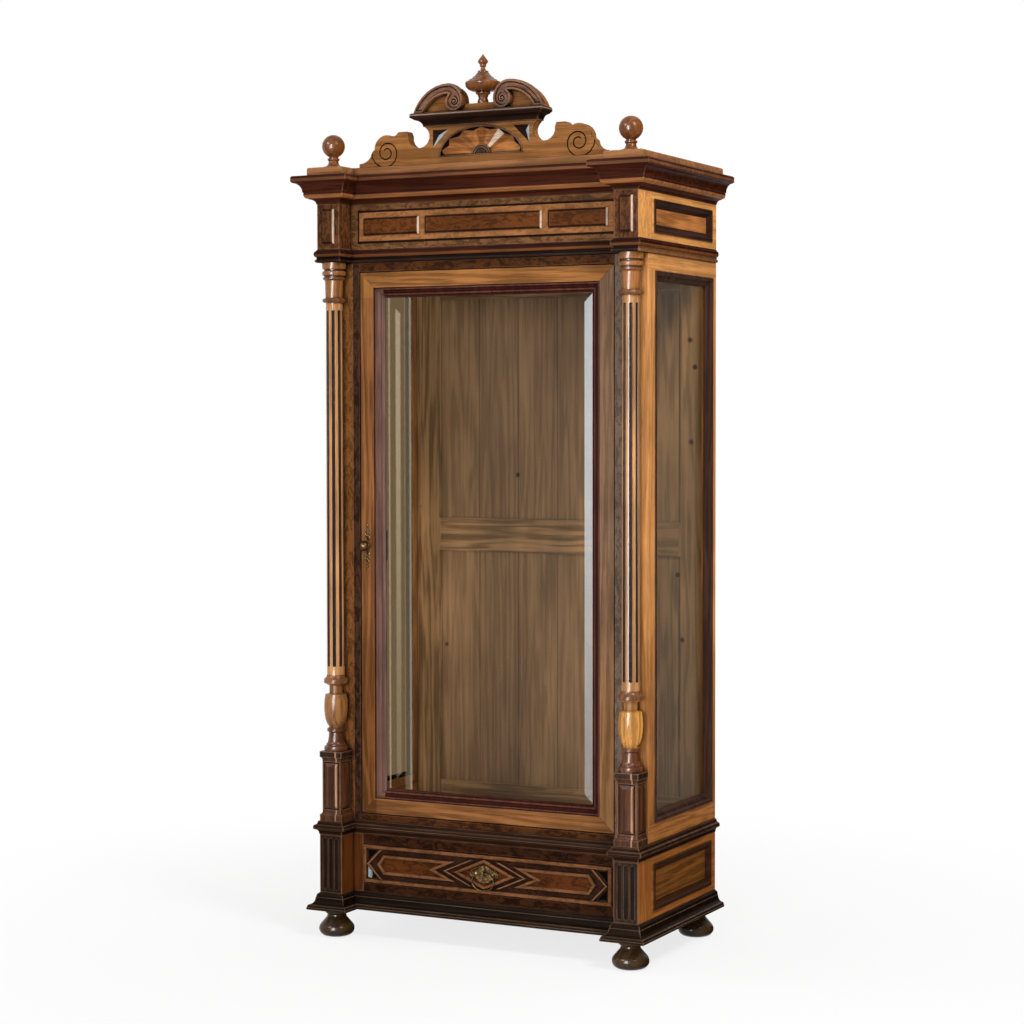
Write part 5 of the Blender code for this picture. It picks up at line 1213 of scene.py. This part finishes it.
def make_pull_relief():
    """The beaded rim and bosses on the drawer's pull plate."""
    low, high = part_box("drawer_pull_plate")
    middle = (low + high) / 2
    centre = Vector((middle.x, FACE_Y - PULL_PROUD, middle.z))
    half_width, half_height = (high.x - low.x) / 2 - PULL_MARGIN, (high.z - low.z) / 2 - PULL_MARGIN
    work = bmesh.new()
    for point in oval(centre, half_width, half_height, count=PULL_BEADS):
        dome(work, point, PULL_BEAD, PULL_BEAD, BEAD_DEPTH, BEAD_RINGS, BEAD_SIDES)
    for sign in (1, -1):
        boss = centre + Vector((sign * half_width * BOSS_PLACE, 0, 0))
        dome(work, boss, *BOSS)
    new_piece("pull_relief", finished("pull_relief", work), "drawer", BRASS)


# Rings of the fan as radius and wire, and arcs as start, end and number of points
FAN_RINGS = ((FAN_HUB, 0.0028), (0.0290, 0.0022))
RING_SINK, RING_ARC = 0.002, (3, 177, 20)
FAN_BORDER, BORDER_FLAT, BORDER_ARC = 0.0030, 0.8, (1, 179, 44)
SILL_RISE, SILL_WIRE = FAN_BORDER * 0.5, FAN_BORDER * 0.6


def make_fan_rings(material):
    """Half-round rings about the fan's hub and a bead round the lunette."""
    work = bmesh.new()
    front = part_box("crest_fan")[0].y
    centre = Vector((0, front + RING_SINK, FAN_Z))
    for radius, wire in FAN_RINGS:
        tube(work, oval(centre, radius, radius, *RING_ARC), wire, False)
    border = Vector((0, CREST_Y, FAN_Z))
    half, height = FAN_HALF - FAN_BORDER, FAN_HEIGHT - FAN_BORDER
    tube(work, oval(border, half, height, *BORDER_ARC), FAN_BORDER, False, BORDER_FLAT)
    sill = [Vector((share * half, CREST_Y, FAN_Z + SILL_RISE)) for share in (-1, 0, 1)]
    tube(work, sill, SILL_WIRE, False)
    new_piece("fan_rings", finished("fan_rings", work), "carcass", material)


# Stage

def make_camera():
    data = bpy.data.cameras.new("camera")
    data.sensor_width = SENSOR
    data.lens = FOCAL_PIXELS * SENSOR / IMAGE_WIDTH
    camera = bpy.data.objects.new("camera", data)
    bpy.context.collection.objects.link(camera)
    turn = Matrix.Rotation(math.radians(CAMERA_TURN), 4, "Z")
    tilt = Matrix.Rotation(math.radians(90 - CAMERA_DOWN), 4, "X")
    roll = Matrix.Rotation(math.radians(CAMERA_ROLL), 4, "Z")
    camera.matrix_world = Matrix.Translation(CAMERA_PLACE) @ turn @ tilt @ roll
    bpy.context.scene.camera = camera


def area_light(name, place, size, power, lights=True, mirrored=True):
    """A soft lamp; it can leave out either the light it casts or its mirror image in polish and glass."""
    data = bpy.data.lights.new(name, "AREA")
    data.shape = "RECTANGLE"
    data.size, data.size_y = size
    data.energy = power
    light = bpy.data.objects.new(name, data)
    bpy.context.collection.objects.link(light)
    light.location = place
    light.visible_diffuse = lights
    light.visible_glossy = mirrored
    light.rotation_euler = (Vector(LIGHT_AIM) - Vector(place)).to_track_quat("-Z", "Y").to_euler()


def seen_ray(nodes, links):
    """1 for rays that show the background: straight from the camera, in a reflection or through glass."""
    path = nodes.new("ShaderNodeLightPath")
    total = path.outputs["Is Camera Ray"]
    for name in ("Is Glossy Ray", "Is Transmission Ray"):
        add = nodes.new("ShaderNodeMath")
        add.operation = "MAXIMUM"
        links.new(total, add.inputs[0])
        links.new(path.outputs[name], add.inputs[1])
        total = add.outputs[0]
    return total


def make_world():
    world = bpy.data.worlds.new("studio")
    bpy.context.scene.world = world
    world.use_nodes = True
    nodes, links = world.node_tree.nodes, world.node_tree.links
    background = nodes["Background"]
    background.inputs["Color"].default_value = (1.0, 1.0, 1.0, 1.0)
    strength = nodes.new("ShaderNodeMapRange")
    strength.inputs["To Min"].default_value = WORLD_DIFFUSE
    links.new(seen_ray(nodes, links), strength.inputs["Value"])
    links.new(strength.outputs[0], background.inputs["Strength"])


def make_floor():
    mesh = bpy.data.meshes.new("floor")
    corners = [(x * FLOOR_HALF, y * FLOOR_HALF, 0.0) for x, y in ((-1, -1), (1, -1), (1, 1), (-1, 1))]
    mesh.from_pydata(corners, [], [(0, 1, 2, 3)])
    floor = bpy.data.objects.new("floor", mesh)
    bpy.context.collection.objects.link(floor)
    n = Nodes("pale_floor")
    matt = n.add("ShaderNodeBsdfDiffuse", Color=(FLOOR_WHITE, FLOOR_WHITE, FLOOR_WHITE, 1.0))
    glow = n.add("ShaderNodeEmission")
    distance = n.add("ShaderNodeVectorMath", {"operation": "LENGTH"})
    n.fill(distance, n.place)
    far = n.ramp(distance.outputs["Value"], FLOOR_NEAR, FLOOR_FAR, FLOOR_GLOW, 1.0)
    share = n.math("MULTIPLY", far, seen_ray(n.tree.nodes, n.tree.links))
    mesh.materials.append(n.show(n.mix_shaders(share, matt, glow)))


for leftover in [item for item in bpy.data.objects if item.name in ("Cube", "Light", "Camera")]:
    bpy.data.objects.remove(leftover)
bpy.context.scene.view_settings.view_transform = "Standard"
SMOOTH = smooth_tree()
BRASS = metal("aged_brass", dark=(34, 26, 16), light=(98, 76, 48), rough=0.34, scratches=0.2)
IRON = metal("lock_iron", dark=(58, 54, 50), light=(112, 106, 100), rough=0.45, scratches=0.3)
dress_wood()
dress_metal_and_glass()
make_escutcheon()
make_pull_relief()
make_fan_rings(wood("fan_trim_x", "X", **FINISHES["fan_trim"]))
make_camera()
area_light("key", *KEY_LAMP)
area_light("fill", *FILL_LAMP, mirrored=False)
area_light("left", *LEFT_LAMP, mirrored=False)
area_light("back", *BACK_LAMP, mirrored=False)
area_light("streak", *STREAK_LAMP, lights=False)
area_light("rim", *RIM_LAMP, lights=False)
make_world()
make_floor()
